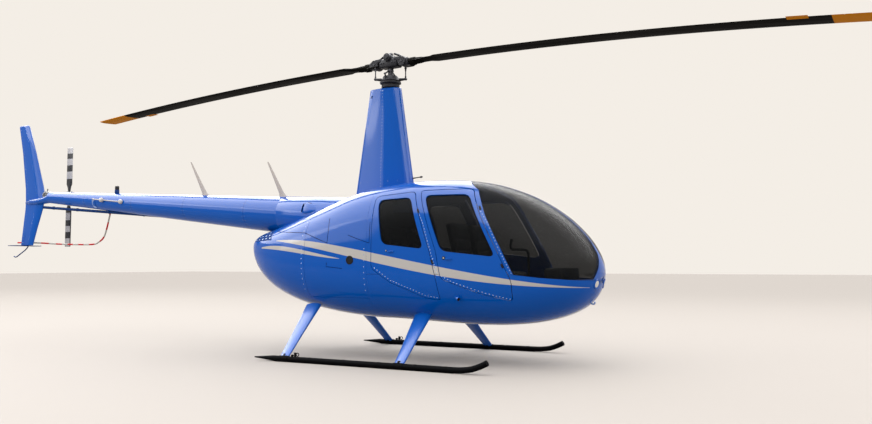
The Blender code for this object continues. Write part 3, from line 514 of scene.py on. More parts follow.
def blue_paint(name, striped, coat_ior=1.255):
    made, shader, place = finish(
        name, coat_weight=1.0, coat_roughness=0.09, coat_ior=coat_ior, specular_ior_level=0.0, roughness=0.35
    )
    x, y, z = place.axes()
    x = x - MAST_X
    tone = place.noise(1.3, 2.0).colours(DEEP_BLUE, BLUE)
    if striped:
        stripe = (curve_through(STRIPE_TOP, x, 5) - z).low(z - curve_through(STRIPE_FOOT, x, 5))
        short = (curve_through(SHORT_TOP, x, 4) - z).low(z - curve_through(SHORT_FOOT, x, 4))
        short = short.low(x + 1.45).low(-0.24 - x)
        stripe = stripe.low(x + 1.19).low(2.33 - x)
        mask = stripe.high(short).above(0.0, soft=0.003)
        tone = mask.colours(tone, STRIPE_GREY)
    waves = place.noise(2.2, 1.0)
    feed(shader, base_color=tone, roughness=place.noise(60.0) * 0.08 + 0.30, normal=waves.bump(0.004, 0.35))
    return made


striped_paint = blue_paint("striped_paint", True)
plain_paint = blue_paint("plain_paint", False)
bright_paint = blue_paint("bright_paint", False, 1.42)
skin_finishes = (striped_paint, plain_paint)

# The cabin's shell: a lower skin with the nose, and a frame of posts and roof that carries doors and panes.
# Glass fibre and steel tube under one paint; the panels meet along the waist line.
FIREWALL_X = 0.100
FAR = 5.0
WAIST = ((-3.0, 0.890), (1.709, 0.890), (1.954, 0.863), (2.200, 0.844), (2.600, 0.820))
WINDSHIELD_EDGE = ((1.000, 1.911), (1.283, 1.724), (1.342, 1.616), (1.412, 1.464), (1.583, 1.144))
FRONT_DOOR = (
    (0.672, 1.740), (0.900, 1.120), (0.955, 0.846), (1.168, 0.771), (1.400, 0.697),
    (1.690, 0.635), (1.692, 0.830), (1.540, 1.140), (1.372, 1.450), (1.235, 1.742),
)
REAR_DOOR = (
    (0.155, 1.697), (0.155, 0.950), (0.381, 0.801), (0.572, 0.733), (0.763, 0.656),
    (0.942, 0.630), (0.905, 0.850), (0.830, 1.140), (0.618, 1.732),
)
DOOR_CORNER = 0.05


def from_mast(outline):
    return [(x + MAST_X, z) for x, z in outline]


waist = from_mast(WAIST)
windshield_outline = from_mast(
    [*WINDSHIELD_EDGE, *WAIST[1:-1], (FAR, WAIST[-2][1]), (FAR, FAR), (1.000, FAR)]
)
doors = {"front": from_mast(FRONT_DOOR), "rear": from_mast(REAR_DOOR)}
door_holes = {end: rounded(outline, DOOR_CORNER) for end, outline in doors.items()}


def waist_at(x):
    return np.interp(x, *np.array(waist).T)


def off_doors(x, z):
    return ~(within(door_holes["front"], x, z) | within(door_holes["rear"], x, z))


door_lines = [(outline, True) for outline in door_holes.values()]
lower_waist = [(x, z - SEAM / 2) for x, z in waist]
upper_waist = [(x, z + SEAM / 2) for x, z in waist]
cabin_reach = (FIREWALL_X + MAST_X, 9.0)
lower_skin = skin_panel(
    "lower_skin",
    lambda x, y, z: (z < waist_at(x) - SEAM / 2) & off_doors(x, z),
    [(lower_waist, False), *door_lines],
    skin_finishes,
    cabin_reach,
)
dress(lower_skin, "airframe", "blue_paint", "cabin_lower_skin")
glazing_hole = inset(windshield_outline, -SEAM / 2)
posts = skin_panel(
    "posts_and_roof",
    lambda x, y, z: (z > waist_at(x) + SEAM / 2) & off_doors(x, z) & ~within(glazing_hole, x, z),
    [(upper_waist, False), (glazing_hole, True), *door_lines],
    skin_finishes,
    cabin_reach,
)
dress(posts, "airframe", "blue_paint", "cabin_frame")

# The windshield: two panes of grey tinted acrylic, 6 mm thick, bent round the nose, with a bow between them.
GLASS = 0.006
GLASS_DEPTH = 0.012
BOW_HALF_WIDTH = 0.016
# height, half of the bow's width there
BOW_EDGE = (
    (0.800, 0.225), (0.840, 0.203), (0.915, 0.148), (1.010, 0.072), (1.090, 0.035), (1.200, BOW_HALF_WIDTH),
)
BOW_FLARE_X = 2.250
BOW_DEPTH = 0.025
GLASS_TINT = (0.004, 0.0045, 0.005)


def tinted_glass(name, alpha):
    made, shader, place = finish(
        name, base_color=GLASS_TINT, roughness=0.3, ior=1.49, specular_ior_level=0.025,
    )
    feed(shader, alpha=place.noise(1.5, 1.0) * 0.03 + alpha)
    made.surface_render_method = "BLENDED"
    return made


pane_finish = tinted_glass("windshield_acrylic", 0.58)


def bow_half(z):
    heights, halves = zip(*BOW_EDGE)
    return np.interp(z, heights, halves)


rows = np.linspace(row_at(MAST_X + 0.9), row_at(MAST_X + BOW_FLARE_X), 80)
bow_edge = []
for x, top, bottom, half_width, widest, upper, lower in section_at(rows):
    rise = (top - widest) * (1 - (BOW_HALF_WIDTH / half_width) ** upper) ** (1 / upper)
    bow_edge.append((x, BOW_HALF_WIDTH, rise))
for z in np.arange(bow_edge[-1][2] + widest, BOW_EDGE[0][0], -0.012)[1:]:
    aft, fore = MAST_X + 1.9, MAST_X + 2.3999
    for _ in range(30):
        x = (aft + fore) / 2
        _, top, bottom, half_width, widest, upper, lower = section_at(row_at(x))
        reach, power = (top - widest, upper) if z > widest else (widest - bottom, lower)
        share = min(1.0, abs(z - widest) / reach)
        wide = half_width * (1 - share**power) ** (1 / power) > bow_half(z)
        aft, fore = (x, fore) if wide else (aft, x)
    bow_edge.append((x, bow_half(z), z - widest))
pane_outline = inset(windshield_outline, SEAM / 2)
glazing_reach = (MAST_X + 0.9, MAST_X + 2.397)
for side, sign in (("right", -1), ("left", 1)):
    pane = skin_panel(
        f"pane_{side}",
        lambda x, y, z: within(pane_outline, x, z) & (y > bow_half(z)),
        [(pane_outline, True), (bow_edge, False)],
        (pane_finish,),
        glazing_reach,
        (0.0, GLASS),
        (sign,),
    )
    dress(pane, "airframe", "tinted_glass", f"windshield_{side}")
bow = skin_panel(
    "bow",
    lambda x, y, z: within(pane_outline, x, z) & (y < bow_half(z)),
    [(pane_outline, True), (bow_edge, False)],
    (bright_paint,),
    (MAST_X + 0.9, 9.0),
    (-0.002, BOW_DEPTH),
)
dress(bow, "airframe", "blue_paint", "windshield_bow")

# The doors: a bonded shell with a thin lip all round, a deeper pan behind it, and a pane set 12 mm in.
FRONT_WINDOW = ((0.738, 1.687), (0.957, 1.120), (1.535, 1.059), (1.211, 1.683))
REAR_WINDOW = ((0.200, 1.655), (0.279, 1.196), (0.767, 1.141), (0.583, 1.672))
WINDOW_CORNER = 0.070
DOOR_GAP = 0.006
LIP = 0.006
PAN_INSET = 0.045
window_finish = tinted_glass("door_acrylic", 0.66)
for end, window in (("front", FRONT_WINDOW), ("rear", REAR_WINDOW)):
    hole = rounded(from_mast(window), WINDOW_CORNER)
    seam = inset(door_holes[end], DOOR_GAP)
    pan = rounded(inset(doors[end], DOOR_GAP + PAN_INSET), DOOR_CORNER)
    for side, sign in (("right", -1), ("left", 1)):
        body = f"{end}_door_{side}"
        shell = skin_panel(
            f"{end}_door_shell_{side}",
            lambda x, y, z: within(seam, x, z) & ~within(hole, x, z),
            [(seam, True), (hole, True)],
            skin_finishes,
            depths=(0.0, LIP),
            sides=(sign,),
        )
        dress(shell, body, "blue_paint", f"{end}_door_{side}")
        lining = skin_panel(
            f"{end}_door_pan_{side}",
            lambda x, y, z: within(pan, x, z) & ~within(hole, x, z),
            [(pan, True), (hole, True)],
            (plain_paint,),
            depths=(LIP, WALL),
            sides=(sign,),
        )
        dress(lining, body, "blue_paint")
        glass_edge = inset(hole, 0.001)
        glass = skin_panel(
            f"{end}_door_pane_{side}",
            lambda x, y, z: within(glass_edge, x, z),
            [(glass_edge, True)],
            (window_finish,),
            depths=(GLASS_DEPTH, GLASS_DEPTH + GLASS),
            sides=(sign,),
        )
        dress(glass, body, "tinted_glass", f"{end}_door_glass_{side}")

# The rear body: two engine cowls over a belly cowl, then the closed tail with its grille on both sides.
COWL_JOINT_X = -0.720
BELLY_COWL_TOP = 0.640
GRILLE = ((-1.285, 1.262), (-1.330, 1.390), (-1.370, 1.600), (-2.000, 1.600), (-2.000, 1.232))
middle_reach = (COWL_JOINT_X + MAST_X + SEAM / 2, FIREWALL_X + MAST_X - SEAM / 2)
belly_line = [(-9.0, BELLY_COWL_TOP - SEAM / 2), (9.0, BELLY_COWL_TOP - SEAM / 2)]
cowl_line = [(-9.0, BELLY_COWL_TOP + SEAM / 2), (9.0, BELLY_COWL_TOP + SEAM / 2)]
cowls = skin_panel(
    "engine_cowls",
    lambda x, y, z: z > BELLY_COWL_TOP + SEAM / 2,
    [(cowl_line, False)],
    skin_finishes,
    middle_reach,
)
dress(cowls, "airframe", "blue_paint", "engine_cowl_right", "engine_cowl_left")
belly = skin_panel(
    "belly_panel",
    lambda x, y, z: z < BELLY_COWL_TOP - SEAM / 2,
    [(belly_line, False)],
    skin_finishes,
    middle_reach,
)
dress(belly, "airframe", "blue_paint", "belly_cowl")
grille_outline = from_mast(GRILLE)
tail_reach = (-9.0, COWL_JOINT_X + MAST_X - SEAM / 2)
tail_shell = skin_panel(
    "tail_shell",
    lambda x, y, z: ~within(grille_outline, x, z),
    [(grille_outline, True)],
    skin_finishes,
    tail_reach,
)
dress(tail_shell, "airframe", "blue_paint", "tail_cowl")


class Shape:
    """A mesh in the making, put together from rings of points."""

    def __init__(self):
        self.verts, self.faces, self.marks = [], [], []

    def loft(self, rings, mark=0, caps=True, closed=False):
        """Skins rings of the same count. A mark is the number of the material, or one for each bay."""
        start, count = len(self.verts), len(rings[0])
        for ring in rings:
            self.verts += [tuple(p) for p in ring]
        bays = len(rings) if closed else len(rings) - 1
        for bay in range(bays):
            a, b = start + bay * count, start + (bay + 1) % len(rings) * count
            for k in range(count):
                after = (k + 1) % count
                self.faces.append((a + k, a + after, b + after, b + k))
                self.marks.append(mark[bay] if isinstance(mark, list) else mark)
        if caps and not closed:
            self.faces.append(tuple(range(start, start + count))[::-1])
            self.faces.append(tuple(range(start + bays * count, start + (bays + 1) * count)))
            self.marks += [mark[0], mark[-1]] if isinstance(mark, list) else [mark, mark]
        return self

    def tube(self, path, radius, sides=16, mark=0, squash=1.0):
        """A round bar along a path. The radius is one number, or one for each point."""
        path = [Vector(p) for p in path]
        radii = list(radius) if isinstance(radius, (list, tuple)) else [radius] * len(path)
        side, rings = None, []
        for i, point in enumerate(path):
            along = (path[min(i + 1, len(path) - 1)] - path[max(i - 1, 0)]).normalized()
            side = along.orthogonal() if side is None else side - along * side.dot(along)
            side.normalize()
            other = along.cross(side)
            turns = [2 * math.pi * k / sides for k in range(sides)]
            rings.append(
                [point + radii[i] * (side * math.cos(t) + other * squash * math.sin(t)) for t in turns]
            )
        return self.loft(rings, mark)

    def lathe(self, profile, origin, axis, sides=24, mark=0):
        """Turns a profile of (place along the axis, radius) about the axis."""
        axis = Vector(axis).normalized()
        side = axis.orthogonal().normalized()
        other = axis.cross(side)
        turns = [2 * math.pi * k / sides for k in range(sides)]
        rings = []
        for along, radius in profile:
            centre = Vector(origin) + axis * along
            rings.append([centre + (side * math.cos(t) + other * math.sin(t)) * radius for t in turns])
        return self.loft(rings, mark)

    def dome(self, centre, axis, radius, height, sides=8, mark=0):
        """A low round head that stands on a surface."""
        steps = ((-0.3 * height, 1.0), (0.35 * height, 0.86), (0.8 * height, 0.5), (height, 0.12))
        return self.lathe([(along, radius * share) for along, share in steps], centre, axis, sides, mark)

    def block(self, centre, halves, axes=((1, 0, 0), (0, 1, 0), (0, 0, 1)), bevel=0.004, mark=0):
        """A block with rounded edges, on three axes."""
        centre, axes = Vector(centre), [Vector(a) for a in axes]
        bevel = min(bevel, 0.45 * min(halves))
        rings = []
        for along, shrink in ((-1, 1), (-1, 0.3), (-1, 0), (1, 0), (1, 0.3), (1, 1)):
            inset_by = bevel * shrink
            reach = along * (halves[2] - bevel * {1: 0.0, 0.3: 0.3, 0: 1.0}[shrink])
            u, v = halves[0] - inset_by, halves[1] - inset_by
            ring = []
            for su, sv in ((1, 1), (-1, 1), (-1, -1), (1, -1)):
                corner = [(u, v - bevel), (u - 0.3 * bevel, v - 0.3 * bevel), (u - bevel, v)]
                corner = corner if su * sv > 0 else corner[::-1]
                ring += [centre + axes[0] * su * a + axes[1] * sv * b + axes[2] * reach for a, b in corner]
            rings.append(ring)
        return self.loft(rings, mark)

    def piece(self, name, *finishes, sharp=38):
        made = flat_mesh(name, self.verts, self.faces)
        for each in finishes:
            made.data.materials.append(each)
        made.data.polygons.foreach_set("material_index", self.marks)
        work = bmesh.new()
        work.from_mesh(made.data)
        bmesh.ops.recalc_face_normals(work, faces=work.faces)
        work.to_mesh(made.data)
        work.free()
        made.data.shade_smooth()
        made.data.set_sharp_from_angle(angle=math.radians(sharp))
        return made


def surface(name, colour, roughness, grain=40.0, spread=0.15, bump=0.0004, **uniform):
    """A finish of one colour with a little change of tone, gloss and grain."""
    made, shader, place = finish(name, **uniform)
    dark = tuple(c * (1 - spread) for c in colour)
    speckle = place.noise(grain)
    tone = place.noise(grain / 8).colours(dark, colour)
    feed(
        shader, base_color=tone, roughness=speckle * 0.1 + (roughness - 0.05), normal=speckle.bump(bump, 0.3),
    )
    return made


def skin_point(x, z, sign=-1, out=0.0):
    """The skin's point and outward direction where the side view shows x from the mast and z."""
    row, turn = side_to_skin(np.array([x + MAST_X]), np.array([z]))
    point, normal = skin_at(row, turn)[0], skin_outward(row, turn)[0]
    point[1] *= sign
    normal[1] *= sign
    return Vector(point) + Vector(normal) * out, Vector(normal)


# The grille: perforated sheet metal in the tail cowl's upper corners, with a pale screen close behind it
# whose colour is painted light, the light seen through the holes.
# the first hole's place from the mast, the rise of the rows towards the front, half a hole, from hole to hole
HOLE_FIRST = (-1.342, 1.291)
HOLE_RISE = 0.057
HOLE_HALF = (0.018, 0.0095)
HOLE_PITCH = (0.074, 0.036)
hole_turns = np.linspace(0, 2 * math.pi, 10, endpoint=False)
edge = inset(grille_outline, 0.012)
holes = []
for row in range(5):
    for column in range(6):
        x = HOLE_FIRST[0] - (column + 0.5 * (row % 2)) * HOLE_PITCH[0]
        z = HOLE_FIRST[1] + row * HOLE_PITCH[1] + HOLE_RISE * (x - HOLE_FIRST[0])
        ring = from_mast(
            [(x + HOLE_HALF[0] * math.cos(t), z + HOLE_HALF[1] * math.sin(t)) for t in hole_turns]
        )
        on_skin = section_at(row_at(ring[0][0]))
        if all(
            within(edge, *np.array(ring).T)
        ) and ring[2][1] < on_skin[1] - 0.035 and ring[0][0] > -1.73 + MAST_X:
            holes.append(ring)


def off_holes(x, z):
    keep = np.ones(np.shape(x), bool)
    for ring in holes:
        keep &= ~within(ring, x, z)
    return keep


grille_edge = inset(grille_outline, SEAM)
grille_blue = surface("grille_blue", (0.0, 0.024, 0.13), 0.5, specular_ior_level=0.03)
grille = skin_panel(
    "grille",
    lambda x, y, z: within(grille_edge, x, z) & off_holes(x, z),
    [(grille_edge, True), *[(ring, True) for ring in holes]],
    (grille_blue,),
    depths=(0.004, 0.007),
)
dress(grille, "airframe", "blue_paint", "rear_grille")
# Painted light: the screen's pale colour shows through the holes as bright dots.
through_light_finish = surface("through_light_screen", (0.50, 0.62, 0.86), 0.6, grain=900.0, spread=0.3)
screen = skin_panel(
    "grille_through_light",
    lambda x, y, z: within(grille_edge, x, z),
    [(grille_edge, True)],
    (through_light_finish,),
    depths=(0.0075, 0.0095),
)
dress(screen, "airframe", "grey_paint")

# Fasteners and panel joints on the skin: low rivet heads in rows, and dark joint lines where covers meet.
# body, spacing, rows of x from the mast and z
RIVET_ROWS = (
    ("airframe", 0.034, ((1.365, 1.500), (1.440, 1.395), (1.590, 1.090), (1.690, 0.905))),
    ("airframe", 0.034, ((0.700, 1.505), (0.755, 1.400), (0.880, 1.010), (0.925, 0.880))),
    ("front_door", 0.040, ((0.975, 0.872), (1.097, 0.812), (1.394, 0.722), (1.500, 0.694), (1.660, 0.660))),
    ("rear_door", 0.040, ((0.200, 0.950), (0.390, 0.825), (0.580, 0.757), (0.770, 0.682), (0.900, 0.660))),
    ("airframe", 0.060, ((-0.760, 0.720), (-0.762, 1.000), (-0.764, 1.300), (-0.740, 1.500))),
    ("airframe", 0.070, ((0.070, 0.720), (0.070, 1.150))),
)
JOINT_LINES = (
    ((-1.232, 1.357), (-0.989, 1.345), (-0.737, 1.331)),
    ((-0.737, 1.331), (-0.561, 1.271), (-0.403, 1.215)),
    ((-0.403, 1.215), (-0.398, 1.354), (-0.412, 1.484)),
    ((-0.133, 1.295), (-0.004, 1.251), (0.134, 1.208)),
    ((0.134, 1.208), (0.136, 1.425)),
    ((-0.404, 1.009), (-0.411, 0.966), (-0.201, 0.946)),
)
RIVET_R = 0.006
RIVET_HEIGHT = 0.002
JOINT_HALF = 0.0028
JOINT_PROUD = 0.0004
# Rivet heads and beads are a lighter blue than the paint round them: a painted highlight.
rivet_highlight_blue = surface(
    "rivet_highlight_blue", (0.16, 0.26, 0.50), 0.22, grain=200.0, coat_weight=1.0, coat_roughness=0.05,
)
# The same near-black also makes painted shade at the boom root scoop.
joint_and_shade_black = surface("joint_and_shade_black", (0.002, 0.006, 0.04), 0.8, specular_ior_level=0.0)
for sign, side in ((-1, "right"), (1, "left")):
    heads = {}
    for body, pitch, line in RIVET_ROWS:
        shape = heads.setdefault(body, Shape())
        for x, z in spaced(line, False, pitch):
            shape.dome(*skin_point(x, z, sign), RIVET_R, RIVET_HEIGHT, 6)
    for body, shape in heads.items():
        rides = body if body == "airframe" else f"{body}_{side}"
        dress(shape.piece(f"rivets_{body}_{side}", rivet_highlight_blue), rides, "blue_paint")
    joints = Shape()
    for line in JOINT_LINES:
        steps = spaced(line, False, 0.03)
        along = np.gradient(steps, axis=0)
        rings = []
        for (x, z), (dx, dz) in zip(steps, along):
            length = math.hypot(dx, dz)
            ring = []
            for across, out in ((-1, -0.001), (-1, JOINT_PROUD), (1, JOINT_PROUD), (1, -0.001)):
                shift = across * JOINT_HALF / length
                ring.append(skin_point(x - dz * shift, z + dx * shift, sign, out)[0])
            rings.append(ring)
        joints.loft(rings)
    dress(joints.piece(f"panel_joints_{side}", joint_and_shade_black), "airframe", "dark_trim")

# Small fittings on the skin: door locks and handles, vent tubes, round ports on the cowls, and nose lights.
LOCKS = (("front_door", 0.995, 1.051, 0.017), ("rear_door", 0.339, 1.128, 0.010))
steel = surface("steel", (0.42, 0.43, 0.45), 0.3, grain=120.0, metallic=1.0)
black_plastic = surface("black_plastic", (0.006, 0.006, 0.007), 0.5, specular_ior_level=0.08)
lamp_silver = surface("lamp_silver", (0.75, 0.75, 0.72), 0.15, metallic=1.0)
for sign, side in ((-1, "right"), (1, "left")):
    for body, x, z, radius in LOCKS:
        lock = Shape()
        point, out = skin_point(x, z, sign)
        lock.lathe(
            ((-0.002, radius), (0.002, radius), (0.003, radius * 0.85), (0.003, radius * 0.5)), point, out,
            20,
        )
        lock.lathe(((0.001, radius * 0.5), (0.004, radius * 0.45), (0.0045, radius * 0.2)), point, out, 16, 1)
        handle, _ = skin_point(x + 0.055, z - 0.010, sign)
        level = out.cross(Vector((0, 0, 1))).normalized()
        rise = level.cross(out).normalized()
        lock.block(handle + out * 0.006, (0.034, 0.007, 0.004), (level, rise, out), 0.003, 2)
        lock.block(handle + out * 0.001, (0.009, 0.009, 0.003), (level, rise, out), 0.002, 2)
        dress(lock.piece(f"{body}_lock_{side}", black_plastic, steel, plain_paint), f"{body}_{side}", "steel")
    vent = Shape()
    point, out = skin_point(1.119, 0.663, sign)
    aim = (out + Vector((0.9, 0, 0.1))).normalized()
    vent.lathe(((-0.03, 0.018), (0.050, 0.018), (0.052, 0.0165), (0.045, 0.0155)), point, aim, 20)
    # A black plug sits just inside the tube's open end: painted shade for its inside.
    vent.lathe(((0.030, 0.0154), (0.048, 0.0154)), point, aim, 20, 1)
    dress(vent.piece(f"vent_tube_{side}", plain_paint, black_plastic), f"front_door_{side}", "blue_paint")
    drain = Shape()
    point, out = skin_point(-0.105, 1.034, sign)
    drain.lathe(
        ((-0.004, 0.046), (0.0025, 0.046), (0.0035, 0.043), (0.0035, 0.037), (-0.004, 0.036)), point, out, 28,
    )
    drain.lathe(((-0.004, 0.037), (0.0005, 0.0365), (0.001, 0.02)), point, out, 28, 1)
    dress(drain.piece(f"cowl_port_{side}", black_plastic, black_plastic), "airframe", "dark_trim")
    lamp = Shape()
    point, out = skin_point(2.371, 0.802, sign)
    lamp.lathe(((-0.020, 0.050), (0.001, 0.050), (0.004, 0.046), (0.003, 0.042)), point, out, 28)
    lamp.lathe(((-0.004, 0.042), (0.001, 0.040), (0.005, 0.025), (0.006, 0.005)), point, out, 28, 1)
    dress(lamp.piece(f"nose_lamp_{side}", plain_paint, lamp_silver), "airframe", "steel")

# The cabin inside: carpeted floor, firewall trim, seat boxes, the console on its pedestal and the stick.
# Dark throughout, behind the tinted panes.
carpet = surface("carpet", (0.020, 0.020, 0.022), 0.95, grain=700.0, spread=0.5, bump=0.002)
wall_trim = surface("wall_trim", (0.045, 0.044, 0.043), 0.7, grain=300.0, bump=0.001)
engine_grey = surface("engine_grey", (0.16, 0.16, 0.16), 0.5, grain=90.0, spread=0.4, metallic=0.5)


def reskin(node, finish_with):
    """A carried-over CAD node gets one material."""
    mesh = frame["nodes"][node].data
    mesh.materials.clear()
    mesh.materials.append(finish_with)
    mesh.polygons.foreach_set("material_index", [0] * len(mesh.polygons))


for node, finish_with in (
    ("cabin_floor", carpet),
    ("firewall", wall_trim),
    ("front_seat_base", wall_trim),
    ("rear_seat_base", wall_trim),
    ("engine_block", engine_grey),
):
    reskin(node, finish_with)
low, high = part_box("instrument_console")
console = Shape()
face_x, foot_x = low.x, high.x
width = (high.y - low.y) / 2
pod_low = low.z + 0.62 * (high.z - low.z)
levels = (
    (low.z, 0.62, 0.72), (pod_low - 0.05, 0.55, 0.66), (pod_low, 0.80, 0.98),
    (high.z - 0.05, 1.0, 0.99), (high.z - 0.012, 0.97, 0.97), (high.z, 0.86, 0.90),
)
rings = []
for z, deep, wide in levels:
    front, back = foot_x, foot_x - (foot_x - face_x) * deep
    ring = []
    for k in range(32):
        t = 2 * math.pi * k / 32
        c, s = math.cos(t), math.sin(t)
        u = math.copysign(abs(c) ** 0.5, c)
        v = math.copysign(abs(s) ** 0.5, s)
        ring.append(((front + back) / 2 + u * (front - back) / 2, v * width * wide, z))
    rings.append(ring)
console.loft(rings)
for row, (height, count, radius) in enumerate(((0.80, 3, 0.036), (0.62, 2, 0.036))):
    z = low.z + (high.z - low.z) * (1 - (1 - height) * 0.9)
    for k in range(count):
        y = (k - (count - 1) / 2) * 0.088
        console.lathe(
            ((0.0, radius), (0.006, radius), (0.007, radius * 0.85), (0.004, radius * 0.83)),
            (face_x + 0.004, y, z), (-1, 0, 0), 24, 1,
        )
dress(console.piece("console", wall_trim, black_plastic), "airframe", "dark_trim", "instrument_console")

# Seats: four leather-covered foam cushions and backs on the seat boxes.
# One cushion and one back are blown up with Cloth, their sewn channels pressed in, and set at every seat.
seat_leather = surface("seat_leather", (0.050, 0.046, 0.043), 0.5, grain=420.0, spread=0.3, bump=0.0015)


def pad_form(name, size, bulge):
    """A rounded pad of the given length, width and thickness, puffed by Cloth between its edges."""
    shape = Shape()
    half = [s / 2 - bulge * 0.6 for s in size]
    shape.block((0, 0, 0), half, bevel=min(0.035, half[2] * 0.8))
    pad = shape.piece(name, seat_leather, sharp=180)
    remesh = pad.modifiers.new("voxels", "REMESH")
    remesh.mode = "VOXEL"
    remesh.voxel_size = 0.012
    graph = bpy.context.evaluated_depsgraph_get()
    mesh = bpy.data.meshes.new_from_object(pad.evaluated_get(graph))
    pad.modifiers.clear()
    pad.data = mesh
    rest = np.array([v.co for v in mesh.vertices])
    cloth = pad.modifiers.new("puff", "CLOTH")
    cloth.settings.use_pressure = True
    cloth.settings.uniform_pressure_force = 4.0
    cloth.settings.effector_weights.gravity = 0.0
    cloth.settings.tension_stiffness = 18
    cloth.settings.compression_stiffness = 18
    for step in range(1, 21):
        bpy.context.scene.frame_set(step)
    graph = bpy.context.evaluated_depsgraph_get()
    puffed = np.array([v.co for v in pad.evaluated_get(graph).data.vertices])
    pad.modifiers.clear()
    bpy.context.scene.frame_set(1)
    move = puffed - rest
    far = np.linalg.norm(move, axis=1, keepdims=True)
    rest = rest + move * np.minimum(1.0, bulge / np.maximum(far, 1e-9))
    mesh.vertices.foreach_set("co", rest.ravel())
    return pad


def sew_channels(pad, along, places, width, depth):
    """Presses channels across a pad where its top cover is sewn down."""
    mesh = pad.data
    co = np.array([v.co for v in mesh.vertices])
    top = np.clip(co[:, 2] / co[:, 2].max(), 0.0, 1.0)
    for place in places:
        co[:, 2] -= depth * top * np.exp(-(((co[:, along] - place) / width) ** 2))
    mesh.vertices.foreach_set("co", co.ravel())
    pad.data.shade_smooth()
    smooth = pad.modifiers.new("smooth", "SUBSURF")
    smooth.levels = smooth.render_levels = 1
    graph = bpy.context.evaluated_depsgraph_get()
    fine = bpy.data.meshes.new_from_object(pad.evaluated_get(graph))
    pad.modifiers.clear()
    pad.data = fine
    return fine


CUSHION = 0.110
CUSHION_LENGTH = 0.470
BACK_THICK = 0.095
BACK_RAKE = 0.20
SEAT_HALF_WIDTH = 0.215
cushion_form = pad_form(
    "cushion_form", (CUSHION_LENGTH - 0.01, 2 * SEAT_HALF_WIDTH - 0.01, CUSHION - 0.004), 0.016,
)
cushion_mesh = sew_channels(cushion_form, 0, (-0.12, 0.0, 0.12), 0.010, 0.010)
first_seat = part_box("front_seat_right")
back_height = (first_seat[1].z - first_seat[0].z - CUSHION) / math.cos(BACK_RAKE)
back_form = pad_form("back_form", (back_height, 2 * SEAT_HALF_WIDTH - 0.01, BACK_THICK - 0.004), 0.014)
back_mesh = sew_channels(back_form, 0, (-0.14, -0.03, 0.08), 0.010, 0.010)
for made in (cushion_form, back_form):
    bpy.data.objects.remove(made)
# row, x of the back's foot at its rear, top of the seat box, top of the back
SEAT_ROWS = (("rear", 0.1423, 0.7603, 1.400), ("front", 0.890, 0.8003, 1.430))
SEAT_Y = 0.245
for row, rear_x, base, back_top in SEAT_ROWS:
    rise = back_top - base
    foot = rear_x + BACK_RAKE * rise
    low_end = Vector((foot + BACK_THICK / 2, 0, base + CUSHION * 0.7))
    high_end = Vector((rear_x + BACK_THICK / 2, 0, back_top - 0.004))
    up = (high_end - low_end).normalized()
    front = Vector((up.z, 0, -up.x))
    for side, sign in (("right", -1), ("left", 1)):
        middle = Vector((MAST_X, sign * SEAT_Y, 0))
        work = bmesh.new()
        cushion = cushion_mesh.copy()
        cushion.transform(
            Matrix.Translation(middle + Vector((foot + CUSHION_LENGTH / 2 + 0.006, 0, base + CUSHION / 2)))
        )
        back = back_mesh.copy()
        turn = Matrix((up, (0, -1, 0), front)).transposed().to_4x4()
        length = (high_end - low_end).length / back_height
        grow = Matrix.Diagonal((length, 1, 1, 1))
        back.transform(Matrix.Translation(middle + (low_end + high_end) / 2) @ turn @ grow)
        work.from_mesh(cushion)
        work.from_mesh(back)
        made = bpy.data.objects.new(f"seat_pads_{row}_{side}", bpy.data.meshes.new("seat_pads"))
        work.to_mesh(made.data)
        work.free()
        bpy.context.collection.objects.link(made)
        made.data.materials.append(seat_leather)
        made.data.shade_smooth()
        dress(made, "airframe", "seat_leather", f"{row}_seat_{side}")

# The mast fairing: a tall riveted aluminium cover with flat sides, a blunt nose and a narrow tail edge.
FAIRING_X = -0.055
MAST_TOP = 2.950
MAST_LEVELS = ((1.550, 0.396, 0.153), (MAST_TOP, 0.190, 0.085))
MAST_RING = (
    (1.00, 0.00), (0.98, 0.22), (0.90, 0.48), (0.76, 0.70), (0.56, 0.88), (0.30, 0.98),
    (0.04, 1.00), (-0.25, 0.93), (-0.86, 0.60), (-0.95, 0.46), (-0.99, 0.22), (-1.00, 0.00),
)
MAST_SEAM = -0.02


def at(x, y, z):
    """A point given from the rotor mast."""
    return Vector((MAST_X + x, y, z))


def smooth_ring(points, steps=5):
    """A closed ring on one smooth curve through the points."""
    points = np.array(points, float)
    out = []
    for i in range(len(points)):
        a, b, c, d = (points[(i + k) % len(points)] for k in (-1, 0, 1, 2))
        for k in range(steps):
            t = k / steps
            out.append(
                0.5 * (
                    2 * b + (c - a) * t + (2 * a - 5 * b + 4 * c - d) * t**2 + (-a + 3 * b - 3 * c + d) * t**3
                )
            )
    return out


def mast_side(along, z, sign=-1, out=0.0):
    """A point on the fairing's side, at a share of its half chord from the middle."""
    (z0, c0, w0), (z1, c1, w1) = MAST_LEVELS
    share = (z - z0) / (z1 - z0)
    chord, width = c0 + (c1 - c0) * share, w0 + (w1 - w0) * share
    shares = np.array(MAST_RING)[::-1]
    across = np.interp(along, shares[:, 0], shares[:, 1])
    return at(FAIRING_X + along * chord, sign * (across * width + out), z)


